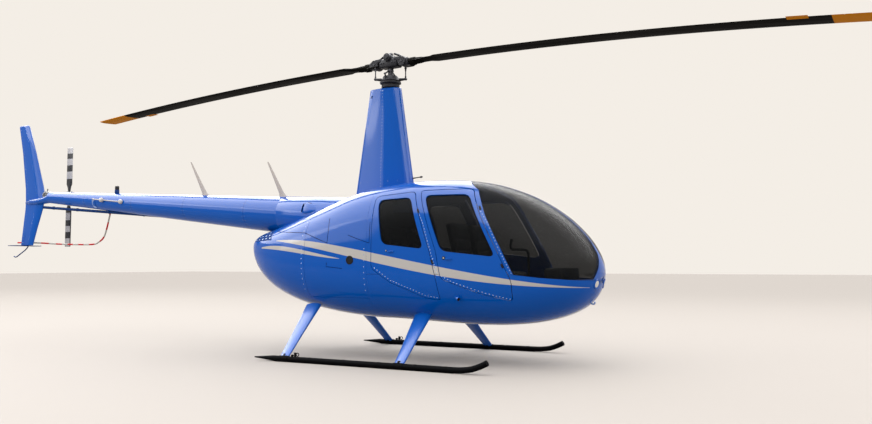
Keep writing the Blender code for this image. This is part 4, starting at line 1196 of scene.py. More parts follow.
ring_shares = smooth_ring([*MAST_RING, *[(u, -v) for u, v in MAST_RING[-2:0:-1]]])
mast = Shape()
rings = []
for z, shrink in (
    (1.550, 0.0), (2.0, 0.0), (2.5, 0.0), (MAST_TOP - 0.006, 0.0), (MAST_TOP, 0.006), (MAST_TOP, 0.020),
    (MAST_TOP - 0.004, 0.024),
):
    share = (z - MAST_LEVELS[0][0]) / (MAST_LEVELS[1][0] - MAST_LEVELS[0][0])
    chord = MAST_LEVELS[0][1] + (MAST_LEVELS[1][1] - MAST_LEVELS[0][1]) * share - shrink
    width = MAST_LEVELS[0][2] + (MAST_LEVELS[1][2] - MAST_LEVELS[0][2]) * share - shrink
    rings.append([at(FAIRING_X + u * chord, v * width, z) for u, v in ring_shares])
mast.loft(rings)
dress(mast.piece("mast_cover", plain_paint), "airframe", "blue_paint", "mast_fairing")
for sign, side in ((-1, "right"), (1, "left")):
    heads, joint = Shape(), Shape()
    heights = np.arange(1.84, 2.93, 0.036)
    for z in heights:
        for along in (MAST_SEAM - 0.055, MAST_SEAM + 0.055):
            heads.dome(mast_side(along, z, sign), (0, sign, 0), 0.0045, 0.0016, 6)
    for along in (-0.80, -0.50, 0.30, 0.62):
        heads.dome(mast_side(along, 1.90, sign), (0, sign, 0), 0.0045, 0.0016, 6)
    corners = ((-0.006, -0.001), (-0.006, 0.0005), (0.006, 0.0005), (0.006, -0.001))
    rings = [[mast_side(MAST_SEAM + du, z, sign, out) for du, out in corners] for z in (1.83, 2.94)]
    joint.loft(rings)
    joint.lathe(
        ((-0.004, 0.016), (0.001, 0.016), (0.0015, 0.010)), mast_side(-0.72, 2.865, sign), (0, sign, 0), 20,
    )
    dress(heads.piece(f"mast_rivets_{side}", rivet_highlight_blue), "airframe", "blue_paint")
    dress(joint.piece(f"mast_joint_{side}", joint_and_shade_black), "airframe", "dark_trim")
probe = Shape()
probe.tube([at(0.290, 0, 1.930), at(0.325, 0, 1.934), at(0.385, 0, 1.940)], [0.008, 0.006, 0.005], 12)
probe.lathe(
    ((0.0, 0.004), (0.004, 0.010), (0.020, 0.011), (0.034, 0.004)), at(0.378, 0, 1.939), (1, 0, 0.08), 14,
)
dress(probe.piece("air_probe", black_plastic), "airframe", "steel")

# The tail boom: a riveted aluminium cone, its root faired into the body, with a scoop on that fairing.
BOOM_START = (-1.420, 1.572, 0.221)
BOOM_END = (-5.660, 1.945, 0.080)
BOOM_SIDES = 72
ROOT_PROUD = 0.006
BOOM_SEAMS = (-1.930, -2.950, -3.900, -4.850)


def boom_at(x):
    """Height of the boom's middle and its radius at x from the mast."""
    share = (x - BOOM_START[0]) / (BOOM_END[0] - BOOM_START[0])
    return [BOOM_START[k] + share * (BOOM_END[k] - BOOM_START[k]) for k in (1, 2)]


def boom_side(x, angle, out=0.0):
    """A point on the boom at an angle up from its starboard side."""
    z, radius = boom_at(x)
    return at(x, -(radius + out) * math.cos(angle), z + (radius + out) * math.sin(angle))


def boom_ring(x, out=0.0):
    return [boom_side(x, 2 * math.pi * k / BOOM_SIDES, out) for k in range(BOOM_SIDES)]


cone = Shape()
cone.loft([boom_ring(x) for x in np.linspace(BOOM_START[0] - 0.001, BOOM_END[0], 12)])
dress(cone.piece("boom_cone", plain_paint), "airframe", "blue_paint", "tail_boom")
root = Shape()
stations = (
    (-0.380, ROOT_PROUD), (-0.900, ROOT_PROUD), (BOOM_START[0] + 0.004, ROOT_PROUD), (BOOM_START[0], 0.004),
    (BOOM_START[0], 0.0),
)
root.loft([boom_ring(x, out) for x, out in stations])
dress(root.piece("boom_root", plain_paint), "airframe", "blue_paint", "boom_root_fairing")
bands, heads = Shape(), Shape()
for x in BOOM_SEAMS:
    corners = ((-0.0015, -0.001), (-0.0015, 0.0004), (0.0015, 0.0004), (0.0015, -0.001))
    rings = [boom_ring(x + dx, out) for dx, out in corners]
    bands.loft(rings, closed=True)
    for dx in (-0.018, 0.018):
        for k in range(0, BOOM_SIDES, 3):
            angle = 2 * math.pi * k / BOOM_SIDES
            heads.dome(boom_side(x + dx, angle), (0, -math.cos(angle), math.sin(angle)), 0.0035, 0.0012, 6)
dress(bands.piece("boom_joints", joint_and_shade_black), "airframe", "dark_trim")
dress(heads.piece("boom_rivets", rivet_highlight_blue), "airframe", "blue_paint")
for sign, side in ((-1, "right"), (1, "left")):
    scoop = Shape()
    rings = []
    for x, half, proud in (
        (-1.030, 0.52, 0.004), (-0.985, 0.56, 0.026), (-0.920, 0.46, 0.020), (-0.830, 0.24, 0.002),
    ):
        z, radius = boom_at(x)
        middle = 0.42
        ring = []
        for k in range(12):
            t = 2 * math.pi * k / 12
            angle = middle + half * math.cos(t) * 0.5
            y_out = ROOT_PROUD + proud * (0.5 + 0.5 * math.sin(t)) - 0.004
            point = boom_side(x, angle, y_out)
            point.y *= -sign
            ring.append(point)
        rings.append(ring)
    scoop.loft(rings, [0, 0, 0])
    # The mouth is a dark disc, and a dark tube runs along the scoop's top edge: painted shade in the open
    # inlet and a painted shadow above it.
    shaded_mouth = []
    for k in range(12):
        t = 2 * math.pi * k / 12
        point = boom_side(-1.0315, 0.42 + 0.24 * math.cos(t), ROOT_PROUD + 0.006 + 0.009 * math.sin(t))
        point.y *= -sign
        shaded_mouth.append(point)
    scoop.loft([shaded_mouth, [p + Vector((-0.002, 0, 0)) for p in shaded_mouth]], 1)
    shadow_brow = []
    for x, angle in ((-1.034, 0.20), (-1.030, 0.45), (-1.010, 0.66), (-0.980, 0.72), (-0.930, 0.70)):
        point = boom_side(x, angle, ROOT_PROUD)
        point.y *= -sign
        shadow_brow.append(point)
    scoop.tube(shadow_brow, [0.004, 0.007, 0.009, 0.008, 0.003], 8, 1)
    dress(scoop.piece(f"root_scoop_{side}", plain_paint, joint_and_shade_black), "airframe", "blue_paint")

# The tail: upper and lower fin of riveted sheet, on a faired block that also carries the tail gearbox.
# A thin plate and a bent wire skid guard the foot of the lower fin.
JOINT_STATIONS = (
    (-5.6603, 1.940, 0.078, 0.070),
    (-5.760, 1.915, 0.074, 0.050),
    (-5.900, 1.900, 0.070, 0.048),
    (-6.080, 1.893, 0.050, 0.040),
    (-6.215, 1.890, 0.012, 0.012),
)
# front, rear, height, half thickness
UPPER_FIN = (
    (-5.778, -6.220, 1.890, 0.030),
    (-5.830, -6.232, 2.100, 0.030),
    (-6.020, -6.318, 2.620, 0.024),
    (-6.178, -6.412, 3.012, 0.016),
    (-6.200, -6.409, 3.034, 0.010),
    (-6.215, -6.405, 3.038, 0.004),
)
LOWER_FIN = (
    (-6.030, -6.297, 1.266, 0.012),
    (-6.026, -6.296, 1.272, 0.018),
    (-5.940, -6.262, 1.520, 0.024),
    (-5.835, -6.225, 1.790, 0.028),
    (-5.812, -6.221, 1.890, 0.028),
)
# share of the chord from the front, and share of the half thickness
FIN_SECTION = (
    (0.000, 0.00), (0.012, 0.26), (0.045, 0.48), (0.12, 0.74), (0.24, 0.94), (0.33, 1.00), (0.37, 0.985),
    (0.60, 0.66), (0.85, 0.29), (0.97, 0.12), (0.99, 0.08), (1.000, 0.00),
)
TAIL_ROTOR = (-5.750, 0.370, 1.987)
GEARBOX_R = 0.052


def fin_ring(front, rear, z, half_thick):
    port = [(front + (rear - front) * u, half_thick * v, z) for u, v in FIN_SECTION]
    return [at(*p) for p in port] + [at(x, -y, z) for x, y, z in port[-2:0:-1]]


tail_node = {"upper_fin": UPPER_FIN, "lower_fin": LOWER_FIN}
for node, levels in tail_node.items():
    fin = Shape()
    fin.loft([fin_ring(*level) for level in levels])
    dress(fin.piece(f"{node}_skin", plain_paint, sharp=24), "airframe", "blue_paint", node)
heads = Shape()
for levels, low, high in ((UPPER_FIN, 2.02, 2.98), (LOWER_FIN, 1.31, 1.76)):
    table = np.array(sorted(levels, key=lambda level: level[2]))
    for z in np.arange(low, high, 0.045):
        front, rear, half = (np.interp(z, table[:, 2], table[:, k]) for k in (0, 1, 3))
        for share, thick in ((0.35, 0.99), (0.85, 0.29)):
            for sign in (-1, 1):
                place = at(front + (rear - front) * share, sign * half * thick, z)
                heads.dome(place, (0, sign, 0), 0.0035, 0.0012, 6)
dress(heads.piece("fin_rivets", rivet_highlight_blue), "airframe", "blue_paint")

block = Shape()
stations = np.array(JOINT_STATIONS)
for_spline = np.linspace(0, len(stations) - 1, 21)
rings = []
for place in for_spline:
    x, z, w, h = (np.interp(place, range(len(stations)), stations[:, k]) for k in range(4))
    rings.append([at(x, w * math.cos(t), z + h * math.sin(t)) for t in np.arange(40) * math.pi / 20])
block.loft(rings)
dress(block.piece("fin_block", plain_paint), "airframe", "blue_paint", "fin_joint_fairing")
# The beads take the rivets' lighter blue, a painted highlight along the block's edge.
beads = Shape()
for sign in (-1, 1):
    edge = []
    for place in np.linspace(1.3, 3.7, 14):
        x, z, w, h = (np.interp(place, range(len(stations)), stations[:, k]) for k in range(4))
        edge.append(at(x, sign * (w * 0.90 + 0.002), z + h * 0.45))
    beads.tube(edge, 0.0035, 8)
dress(beads.piece("fin_block_beads", rivet_highlight_blue), "airframe", "blue_paint")

dark_blue = surface("dark_blue", (0.0, 0.022, 0.11), 0.4, specular_ior_level=0.04)
plate = Shape()
plate.block(at(-6.210, 0, 1.26085), (0.090, 0.205, 0.0048), bevel=0.002)
dress(plate.piece("fin_foot_plate", dark_blue), "airframe", "black_paint", "lower_fin_plate")
SKID_WIRE = (
    (-6.140, 0, 1.2555), (-6.141, 0, 1.245), (-6.160, 0, 1.226), (-6.203, 0, 1.196), (-6.313, 0, 1.139),
    (-6.375, 0, 1.106), (-6.395, 0, 1.099), (-6.412, 0, 1.098), (-6.430, 0, 1.101), (-6.448, 0, 1.109),
)
skid_wire = Shape()
skid_wire.tube([at(*p) for p in SKID_WIRE], 0.008, 12)
skid_wire.dome(at(-6.448, 0, 1.109), (-0.9, 0, 0.4), 0.008, 0.004, 12)
dress(skid_wire.piece("tail_skid_wire", dark_blue), "airframe", "black_paint", "tail_skid")

# The tail rotor's gearbox: a dark casting across the fin's front, with a ribbed output side and a sight plug.
x, y, z = TAIL_ROTOR
black_paint = surface("black_paint", (0.0025, 0.0025, 0.003), 0.6, grain=150.0, specular_ior_level=0.012)
casting = surface("casting", (0.055, 0.056, 0.060), 0.42, grain=160.0, spread=0.5, metallic=0.6)
gearbox = Shape()
gearbox.lathe(
    (
        (-0.045, 0.030), (-0.045, 0.046), (-0.038, GEARBOX_R), (0.050, GEARBOX_R), (0.056, 0.048),
        (0.062, 0.052), (0.070, 0.052), (0.076, 0.046), (0.090, 0.050), (0.110, 0.050), (0.112, 0.030),
        (0.240, 0.024), (0.2401, 0.018),
    ),
    at(x, 0, z), (0, 1, 0), 36,
)
for k in range(8):
    t = 2 * math.pi * k / 8
    gearbox.dome(at(x + 0.040 * math.cos(t), 0.110, z + 0.040 * math.sin(t)), (0, 1, 0), 0.005, 0.005, 6, 1)
    gearbox.dome(at(x + 0.038 * math.cos(t), -0.045, z + 0.038 * math.sin(t)), (0, -1, 0), 0.005, 0.005, 6, 1)
dress(gearbox.piece("gearbox_casting", casting, steel), "airframe", "black_paint", "tail_gearbox")
plug = Shape()
plug.lathe(
    ((-0.004, 0.006), (0.030, 0.005), (0.031, 0.008), (0.040, 0.008), (0.041, 0.003)), at(x, 0, z + 0.050),
    (0.2, 0, 1), 12,
)
dress(plug.piece("gearbox_plug", black_plastic), "airframe", "black_paint")

# The tail rotor: two thin aluminium blades on a steel fork, banded in silver and black so that they show.
TAIL_R = 0.737
TAIL_CHORD = 0.125
UPPER_BANDS = (0.270, 0.379, 0.474, 0.569, 0.649)
LOWER_BANDS = (0.234, 0.343, 0.431, 0.518, 0.613)
BAND_SILVER = (0.34, 0.335, 0.345)
BAND_BLACK = (0.010, 0.010, 0.011)
for name, sign, edges in (("upper", 1, UPPER_BANDS), ("lower", -1, LOWER_BANDS)):
    banded, shader, place = finish(f"bands_{name}", roughness=0.4, specular_ior_level=0.3)
    radius = (place.axes()[2] - z) * sign
    silver = None
    for edge in edges:
        step = radius.above(edge, soft=0.003)
        silver = step if silver is None else abs(silver - step)
    if sign < 0:
        silver = silver * (place.axes()[0] - (MAST_X + x + 0.036)).above(0.0, soft=-0.003)
    tone = silver.colours(BAND_BLACK, BAND_SILVER)
    feed(shader, base_color=tone, roughness=place.noise(80.0) * 0.1 + 0.35)
    blade = Shape()
    rings = []
    for r, half_chord, half_thick in (
        (0.0853, 0.026, 0.015), (0.110, 0.028, 0.015), (0.150, 0.040, 0.013), (0.190, TAIL_CHORD / 2, 0.010),
        (0.450, TAIL_CHORD / 2, 0.009), (TAIL_R - 0.012, TAIL_CHORD / 2, 0.008), (
            TAIL_R - 0.003, TAIL_CHORD / 2 - 0.004, 0.006,
        ),
        (TAIL_R, TAIL_CHORD / 2 - 0.012, 0.003),
    ):
        ring = []
        for k in range(24):
            t = 2 * math.pi * k / 24
            c, s = math.cos(t), math.sin(t)
            ring.append(at(x - 0.010 + half_chord * c, y + half_thick * s * (0.75 + 0.25 * c), z + sign * r))
        rings.append(ring)
    blade.loft(rings)
    dress(blade.piece(f"tail_blade_skin_{name}", banded), "tail_rotor", "black_paint", f"tail_blade_{name}")
fork = Shape()
fork.lathe(((0.0, 0.016), (0.105, 0.016)), at(x, 0.2403, z), (0, 1, 0), 20, 1)
fork.lathe(((0.0, 0.020), (0.018, 0.020), (0.022, 0.016)), at(x, 0.2403, z), (0, 1, 0), 20)
fork.block(at(x, y, z), (0.022, 0.045, 0.085), ((0, 1, 0), (1, 0, 0), (0, 0, 1)), 0.010)
fork.lathe(((0.0, 0.018), (0.022, 0.018), (0.026, 0.012), (0.034, 0.010)), at(x, y, z), (0, 1, 0), 16, 1)
for sign in (-1, 1):
    for dx in (-0.018, 0.018):
        fork.dome(at(x - 0.006 + dx, y - 0.022, z + sign * 0.060), (0, -1, 0), 0.008, 0.006, 6, 1)
        fork.dome(at(x - 0.006 + dx, y + 0.022, z + sign * 0.060), (0, 1, 0), 0.008, 0.006, 6, 1)
    fork.tube(
        [at(x + 0.040, y - 0.055, z + sign * 0.030), at(x + 0.040, y - 0.012, z + sign * 0.070)], 0.005, 8, 1,
    )
fork.lathe(((0.0, 0.030), (0.010, 0.034), (0.014, 0.030)), at(x, y - 0.066, z), (0, 1, 0), 20)
dress(fork.piece("tail_rotor_fork", casting, steel), "tail_rotor", "steel", "tail_rotor_hub")

# The tail rotor's guard: a bent steel tube from the boom to the lower fin, in red and white bands.
GUARD_R = 0.011
GUARD_BAND = 0.115
GUARD_FIRST = 0.035
GUARD_PATH = (
    (-4.545, 0.055, 1.790), (-4.595, 0.128, 1.700), (-4.645, 0.150, 1.600), (-4.705, 0.170, 1.480),
    (-4.775, 0.185, 1.370), (-4.885, 0.195, 1.305), (-5.050, 0.200, 1.272), (-5.700, 0.200, 1.285),
    (-5.950, 0.110, 1.300), (-6.158, 0.029, 1.308), (-6.410, 0.030, 1.310),
)


def smooth_path(points, steps):
    """Points on one smooth curve through the given ones."""
    points = np.array(points, float)
    out = []
    for i in range(len(points) - 1):
        a, b = points[max(i - 1, 0)], points[i]
        c, d = points[i + 1], points[min(i + 2, len(points) - 1)]
        for k in range(steps):
            t = k / steps
            out.append(
                0.5 * (
                    2 * b + (c - a) * t + (2 * a - 5 * b + 4 * c - d) * t**2 + (-a + 3 * b - 3 * c + d) * t**3
                )
            )
    return [*out, points[-1]]


guard_red = surface("guard_red", (0.40, 0.004, 0.008), 0.5, grain=60.0, specular_ior_level=0.05)
guard_white = surface("guard_white", (0.34, 0.33, 0.31), 0.5, grain=60.0, specular_ior_level=0.05)
line = np.array(smooth_path(GUARD_PATH, 12))
run = np.concatenate([[0], np.cumsum(np.linalg.norm(np.diff(line, axis=0), axis=1))])
stops = [0.0, GUARD_FIRST]
while stops[-1] < run[-1]:
    stops += [stops[-1] + GUARD_BAND * k / 5 for k in range(1, 6)]
stops = [s for s in stops if s < run[-1]] + [run[-1]]
points = [[np.interp(s, run, line[:, k]) for k in range(3)] for s in stops]
marks = [math.floor(((a + b) / 2 - GUARD_FIRST) / GUARD_BAND) % 2 for a, b in zip(stops, stops[1:])]
guard = Shape()
guard.tube([at(*p) for p in points], GUARD_R, 12, marks)
dress(guard.piece("guard_tube", guard_red, guard_white), "airframe", "red_paint", "tail_rotor_guard")

# On the boom: two blade aerials, the beacon, a rod with two balls on a bracket, and a thin tube below it.
aerial_grey = surface(
    "aerial_grey", (0.36, 0.33, 0.31), 0.6, grain=70.0, spread=0.05, bump=0.0, specular_ior_level=0.03,
)
for node, x, height, sweep in (("front_aerial", -1.482, 0.443, 0.245), ("rear_aerial", -2.715, 0.448, 0.265)):
    middle, radius = boom_at(x)
    base = middle + radius - 0.008
    aerial = Shape()
    rings = []
    levels = (
        (0.0, 0.058, 0.014), (0.030, 0.056, 0.013), (0.045, 0.050, 0.011), (0.12, 0.038, 0.010),
        (0.50, 0.026, 0.0065), (0.96, 0.013, 0.003), (1.0, 0.008, 0.0015),
    )
    for share, half_chord, half_thick in levels:
        turns = np.arange(20) * math.pi / 10
        rings.append([
            at(x - sweep * share + half_chord * math.cos(t), half_thick * math.sin(t), base + height * share)
            for t in turns
        ])
    aerial.loft(rings)
    foot = []
    for out, grow in ((-0.004, 1.0), (0.002, 1.0), (0.004, 0.9)):
        foot.append([
            boom_side(
                x + 0.072 * grow * math.cos(t), math.pi / 2 + 0.026 / radius * grow * math.sin(t), out,
            )
            for t in turns
        ])
    aerial.loft(foot)
    dress(aerial.piece(f"{node}_blade", aerial_grey), "airframe", "grey_paint", node)
BEACON_TOP = 2.055
middle, radius = boom_at(-4.320)
beacon = Shape()
top = middle + radius
beacon.lathe(((-0.010, 0.030), (0.045, 0.030), (0.049, 0.028)), at(-4.320, 0, top), (0, 0, 1), 28)
beacon.lathe(
    (
        (0.047, 0.0275), (BEACON_TOP - top - 0.012, 0.0275), (BEACON_TOP - top - 0.004, 0.024),
        (BEACON_TOP - top, 0.010),
    ),
    at(-4.320, 0, top), (0, 0, 1), 28, 1,
)
dress(beacon.piece("beacon_lamp", dark_blue, black_plastic), "airframe", "black_paint", "beacon")
middle, radius = boom_at(-4.670)
rod_y = -radius - 0.022
aerial_rod = Shape()
rod_line = [
    (-4.640, rod_y + 0.022, 1.884), (-4.640, rod_y, 1.884), (-4.600, rod_y, 1.875), (-4.455, rod_y, 1.860),
    (-4.085, rod_y, 1.823),
]
aerial_rod.tube([at(*p) for p in rod_line], 0.007, 10)
for ball_x, ball_z in ((-4.455, 1.860), (-4.085, 1.823)):
    steps = [math.pi * k / 14 for k in range(1, 14)]
    aerial_rod.lathe(
        [(-0.031 * math.cos(t), 0.031 * math.sin(t)) for t in steps], at(ball_x, rod_y - 0.008, ball_z),
        (0, 0, 1), 24,
    )
strap = []
for out in (0.0005, 0.004):
    ring = []
    for angle in np.linspace(-0.95, 0.25, 10):
        ring.append(boom_side(-4.612, angle, out))
    for angle in np.linspace(0.25, -0.95, 10):
        ring.append(boom_side(-4.671, angle, out))
    strap.append(ring)
aerial_rod.loft(strap, 1)
ball_white = surface("ball_white", (0.46, 0.44, 0.43), 0.5, grain=60.0, specular_ior_level=0.1)
pale_blue = surface("pale_blue", (0.12, 0.22, 0.50), 0.3, coat_weight=0.8, coat_roughness=0.05)
dress(aerial_rod.piece("ball_rod", ball_white, pale_blue), "airframe", "grey_paint", "ball_aerial")
thin = Shape()
thin.tube([at(-3.500, 0, 1.622), at(-3.700, 0, 1.639), at(-5.815, 0, 1.812)], 0.0195, 20)
for x in (-3.80, -4.45, -5.10, -5.60):
    middle = 1.622 + (x + 3.500) * (1.812 - 1.622) / (-5.812 + 3.500)
    thin.tube([at(x + 0.012, 0, middle), at(x - 0.012, 0, middle + 0.002)], 0.0235, 20)
dress(thin.piece("underslung_tube", dark_blue), "airframe", "blue_paint", "under_boom_tube")

# The main rotor: a steel mast through a fixed and a turning swashplate, a teetering hub with a coning hinge
# for each blade. Machined and forged metal, painted black, with bright bolts.
HUB_Z = 3.227
LINK_X = 0.150
LINK_Y = 0.080
LINK_TOP = 3.189
PARKED_ANGLE = -0.080
along = Vector((math.cos(PARKED_ANGLE), math.sin(PARKED_ANGLE), 0))
across = Vector((-along.y, along.x, 0))
up = Vector((0, 0, 1))
axis = at(0, 0, 0)
hub_grey = surface("hub_grey", (0.016, 0.016, 0.020), 0.45, grain=140.0, spread=0.5, specular_ior_level=0.09)
worn_metal = surface(
    "worn_metal", (0.030, 0.030, 0.034), 0.5, grain=140.0, metallic=0.35, specular_ior_level=0.1,
)
fixed = Shape()
fixed.lathe(
    (
        (2.9503, 0.052), (2.9503, 0.060), (2.9560, 0.092), (2.9620, 0.101), (2.9850, 0.102), (2.9900, 0.094),
        (2.9960, 0.094), (3.0020, 0.110), (3.0080, 0.119), (3.0240, 0.119), (3.0250, 0.040),
    ),
    axis, (0, 0, 1), 40,
)
for k in range(10):
    t = 2 * math.pi * k / 10
    out = Vector((math.cos(t), math.sin(t), 0))
    fixed.dome(axis + out * 0.118 + up * 3.016, out, 0.006, 0.004, 6, 1)
for t in (2.2, 4.2, 5.9):
    out = Vector((math.cos(t), math.sin(t), 0))
    fixed.tube([axis + out * 0.055 + up * 2.955, axis + out * 0.080 + up * 2.975], 0.010, 10)
dress(fixed.piece("swashplate_fixed", hub_grey, worn_metal), "airframe", "black_paint", "fixed_swashplate")
turning = Shape()
turning.lathe(
    (
        (3.0310, 0.040), (3.0310, 0.108), (3.0340, 0.1118), (3.0420, 0.1118), (3.0470, 0.103),
        (3.0540, 0.101),
        (3.0600, 0.092), (3.0800, 0.088), (3.0900, 0.082), (3.0950, 0.060), (3.0960, 0.040),
    ),
    axis, (0, 0, 1), 40,
)
for sign in (1, -1):
    horn = axis + (along * LINK_X + across * LINK_Y) * sign
    mid = axis + (along * LINK_X + across * LINK_Y) * sign * 0.5
    turning.tube([mid + up * 3.052, horn + up * 3.060], [0.020, 0.012], 12)
    turning.lathe(
        ((-0.014, 0.010), (-0.010, 0.015), (0.010, 0.015), (0.014, 0.010)), horn + up * 3.060, across, 16,
    )
    turning.tube([horn + up * 3.060, horn + up * LINK_TOP], 0.0065, 12, 1)
    for low, high in ((3.062, 3.092), (3.150, 3.184)):
        turning.tube([horn + up * low, horn + up * high], 0.0095, 6, 1)
    turning.lathe(
        ((-0.011, 0.008), (-0.008, 0.012), (0.008, 0.012), (0.011, 0.008)), horn + up * (LINK_TOP - 0.008),
        across, 16,
    )
for sign in (1, -1):
    elbow = axis + across * 0.105 * sign + up * 3.108
    turning.tube([axis + across * 0.095 * sign + up * 3.050, elbow], 0.009, 10)
    turning.tube([elbow, axis + across * 0.030 * sign + up * 3.150], 0.008, 10)
    turning.lathe(((-0.012, 0.010), (0.012, 0.010)), elbow, along, 12, 1)
dress(
    turning.piece("swashplate_turning", hub_grey, worn_metal), "main_rotor", "black_paint",
    "turning_swashplate",
)
shaft = Shape()
shaft.lathe(
    ((2.9503, 0.028), (2.9503, 0.030), (3.140, 0.030), (3.143, 0.036), (3.165, 0.036), (3.180, 0.030)), axis,
    (0, 0, 1), 28,
)
dress(shaft.piece("mast_shaft", worn_metal), "main_rotor", "steel", "rotor_mast")

hub = Shape()
axes = (across, up, along)
hub.block(axis + up * 3.236, (0.060, 0.050, 0.120), axes, 0.014)
for sign in (1, -1):
    hinge = axis + along * 0.185 * sign + up * 3.236
    hub.lathe(
        ((-0.062, 0.030), (-0.062, 0.050), (-0.050, 0.055), (0.050, 0.055), (0.062, 0.050), (0.062, 0.030)),
        hinge, across, 28,
    )
    hub.lathe(
        ((-0.070, 0.008), (-0.070, 0.014), (-0.060, 0.017), (0.060, 0.017), (0.070, 0.014), (0.070, 0.008)),
        hinge, across, 6, 1,
    )
    hub.block(axis + along * 0.235 * sign + up * 3.230, (0.050, 0.040, 0.028), axes, 0.012)
    for side in (1, -1):
        hub.block(
            axis + along * 0.130 * sign + across * 0.050 * side + up * 3.270, (0.010, 0.022, 0.045), axes,
            0.006,
        )
        hub.dome(axis + along * 0.246 * sign + across * 0.030 * side + up * 3.268, up, 0.009, 0.010, 6, 1)
hub.lathe(
    (
        (-0.100, 0.012), (-0.100, 0.024), (-0.088, 0.028), (-0.084, 0.044), (-0.050, 0.046), (-0.044, 0.040),
        (0.044, 0.040), (0.050, 0.046), (0.084, 0.044), (0.088, 0.028), (0.100, 0.024), (0.100, 0.012),
    ),
    axis + up * 3.296, across, 32,
)
for sign in (1, -1):
    for dx, dz in ((0.032, 0.020), (-0.032, 0.020), (0.032, -0.020), (-0.032, -0.020)):
        place = axis + along * (0.185 * sign + dx) + up * (3.236 + dz)
        for side in (1, -1):
            hub.dome(place + across * 0.062 * side, across * side, 0.008, 0.008, 6, 1)
    for r in (0.060, 0.095):
        hub.dome(axis + along * r * sign + across * -0.060 + up * 3.236, -across, 0.010, 0.012, 6, 1)
    hub.tube(
        [axis + along * r * sign + up * z for r, z in ((0.050, 3.345), (0.110, 3.320), (0.150, 3.300))],
        [0.012, 0.012, 0.010], 10,
    )
hub.lathe(((3.180, 0.036), (3.205, 0.052), (3.230, 0.056), (3.300, 0.052)), axis, (0, 0, 1), 28)
hub.lathe(((3.300, 0.030), (3.348, 0.030), (3.356, 0.022), (3.3595, 0.010)), axis, (0, 0, 1), 6, 1)
dress(hub.piece("teeter_hub", hub_grey, worn_metal), "main_rotor", "black_paint", "rotor_hub")

# The main blades: bonded aluminium skins on a steel leading edge, black, with ochre tips and ochre trim tabs.
ROTOR_R = 5.030
BLADE_CHORD = 0.262
BLADE_THICK = 0.030
BLADE_DROOP = {1: 0.270, -1: 0.190}
OCHRE_FROM = 4.480
TAB = (4.138, 4.306, 0.040, 0.0012)
TAB_LAP = 0.046
OCHRE = (0.42, 0.150, 0.004)
BLADE_BLACK = (0.003, 0.0025, 0.002)
root_stations = (
    (0.2653, 0.045, 0.030), (0.340, 0.050, 0.029), (0.420, 0.055, 0.028), (0.520, 0.080, 0.024),
    (0.580, 0.110, 0.019),
)
tip_stations = ((ROTOR_R - 0.012, 0.131, 0.015), (ROTOR_R - 0.003, 0.128, 0.013), (ROTOR_R, 0.121, 0.008))


def blade_ring(radius, half_chord, half_thick, out_way, lead_way, tip_droop):
    """The leading edge faces the way the blade turns, a quarter chord ahead of its axis."""
    droop = tip_droop * (radius / ROTOR_R) ** 2
    shift = half_chord * 0.5 - (0.045 if half_chord > 0.1 else 0.0)
    centre = axis + out_way * radius - lead_way * (shift - 0.02) + up * (HUB_Z - droop)
    ring = []
    for k in range(28):
        t = 2 * math.pi * k / 28
        c, s = math.cos(t), math.sin(t)
        thick = half_thick * s * (0.62 + 0.38 * c) * 1.25
        ring.append(centre + lead_way * (half_chord * c) + up * thick)
    return ring


rotor_paint, shader, place = finish("rotor_paint", specular_ior_level=0.012)
x_out, y_out, _ = place.axes()
span = abs((x_out - MAST_X) * along.x + y_out * along.y)
worn = place.noise(2.5, 4.0, stretch=(0.4, 6.0, 1.0)) * 0.5
signed = (x_out - MAST_X) * along.x + y_out * along.y
lead = (y_out * along.x - (x_out - MAST_X) * along.y) * signed / span
lap = (TAB_LAP - 0.5 * BLADE_CHORD - lead).low(span - TAB[0]).low(TAB[1] - span).above(0.0, soft=0.001)
tone = span.above(OCHRE_FROM, soft=0.004).high(lap).colours(BLADE_BLACK, OCHRE)
feed(shader, base_color=tone, roughness=worn + 0.30, normal=place.noise(90.0).bump(0.0004, 0.2))
tab_ochre = surface("tab_ochre", OCHRE, 0.6, grain=90.0, specular_ior_level=0.03)
for node, sign in (("main_blade_front", 1), ("main_blade_rear", -1)):
    out_way, lead_way, tip_droop = along * sign, across * sign, BLADE_DROOP[sign]
    spans = [(r, BLADE_CHORD / 2, BLADE_THICK / 2) for r in np.linspace(0.640, ROTOR_R - 0.03, 36)]
    blade = Shape()
    stations = (*root_stations, *spans, *tip_stations)
    blade.loft([blade_ring(*station, out_way, lead_way, tip_droop) for station in stations])
    horn = ((0.300, 0.0), (0.290, 0.040), (0.270, 0.068), (0.240, LINK_Y), (LINK_X - 0.012, LINK_Y))
    level = LINK_TOP + 0.0103
    blade.tube(
        [axis + out_way * r + lead_way * a + up * level for r, a in horn],
        [0.012, 0.012, 0.011, 0.010, 0.010], 12,
    )
    grip = ((0.268, 0.034), (0.276, 0.046), (0.335, 0.046), (0.345, 0.038), (0.420, 0.035), (0.450, 0.026))
    blade.lathe(grip, axis + up * (HUB_Z - 0.002), out_way, 24)
    for r in (0.36, 0.40, 0.44):
        droop = tip_droop * (r / ROTOR_R) ** 2
        for z_way in (1, -1):
            blade.dome(
                axis + out_way * r + up * (HUB_Z - droop + z_way * 0.026), up * z_way, 0.010, 0.008, 6, 1,
            )
    dress(blade.piece(f"{node}_skin", rotor_paint, worn_metal), "main_rotor", "black_paint", node)
    tab = Shape()
    inner, outer, reach, half = TAB
    corners = []
    for r in (inner, outer):
        droop = tip_droop * (r / ROTOR_R) ** 2
        rear = BLADE_CHORD / 2 * 1.5 - 0.045 - 0.02
        for back in (0.0, reach):
            corners.append(axis + out_way * r - lead_way * (rear - 0.004 + back) + up * (HUB_Z - droop))
    a, b, d, c = corners
    tab.loft([[p - up * half for p in (a, b, c, d)], [p + up * half for p in (a, b, c, d)]])
    dress(tab.piece(f"{node}_tab", tab_ochre), "main_rotor", "grey_paint")

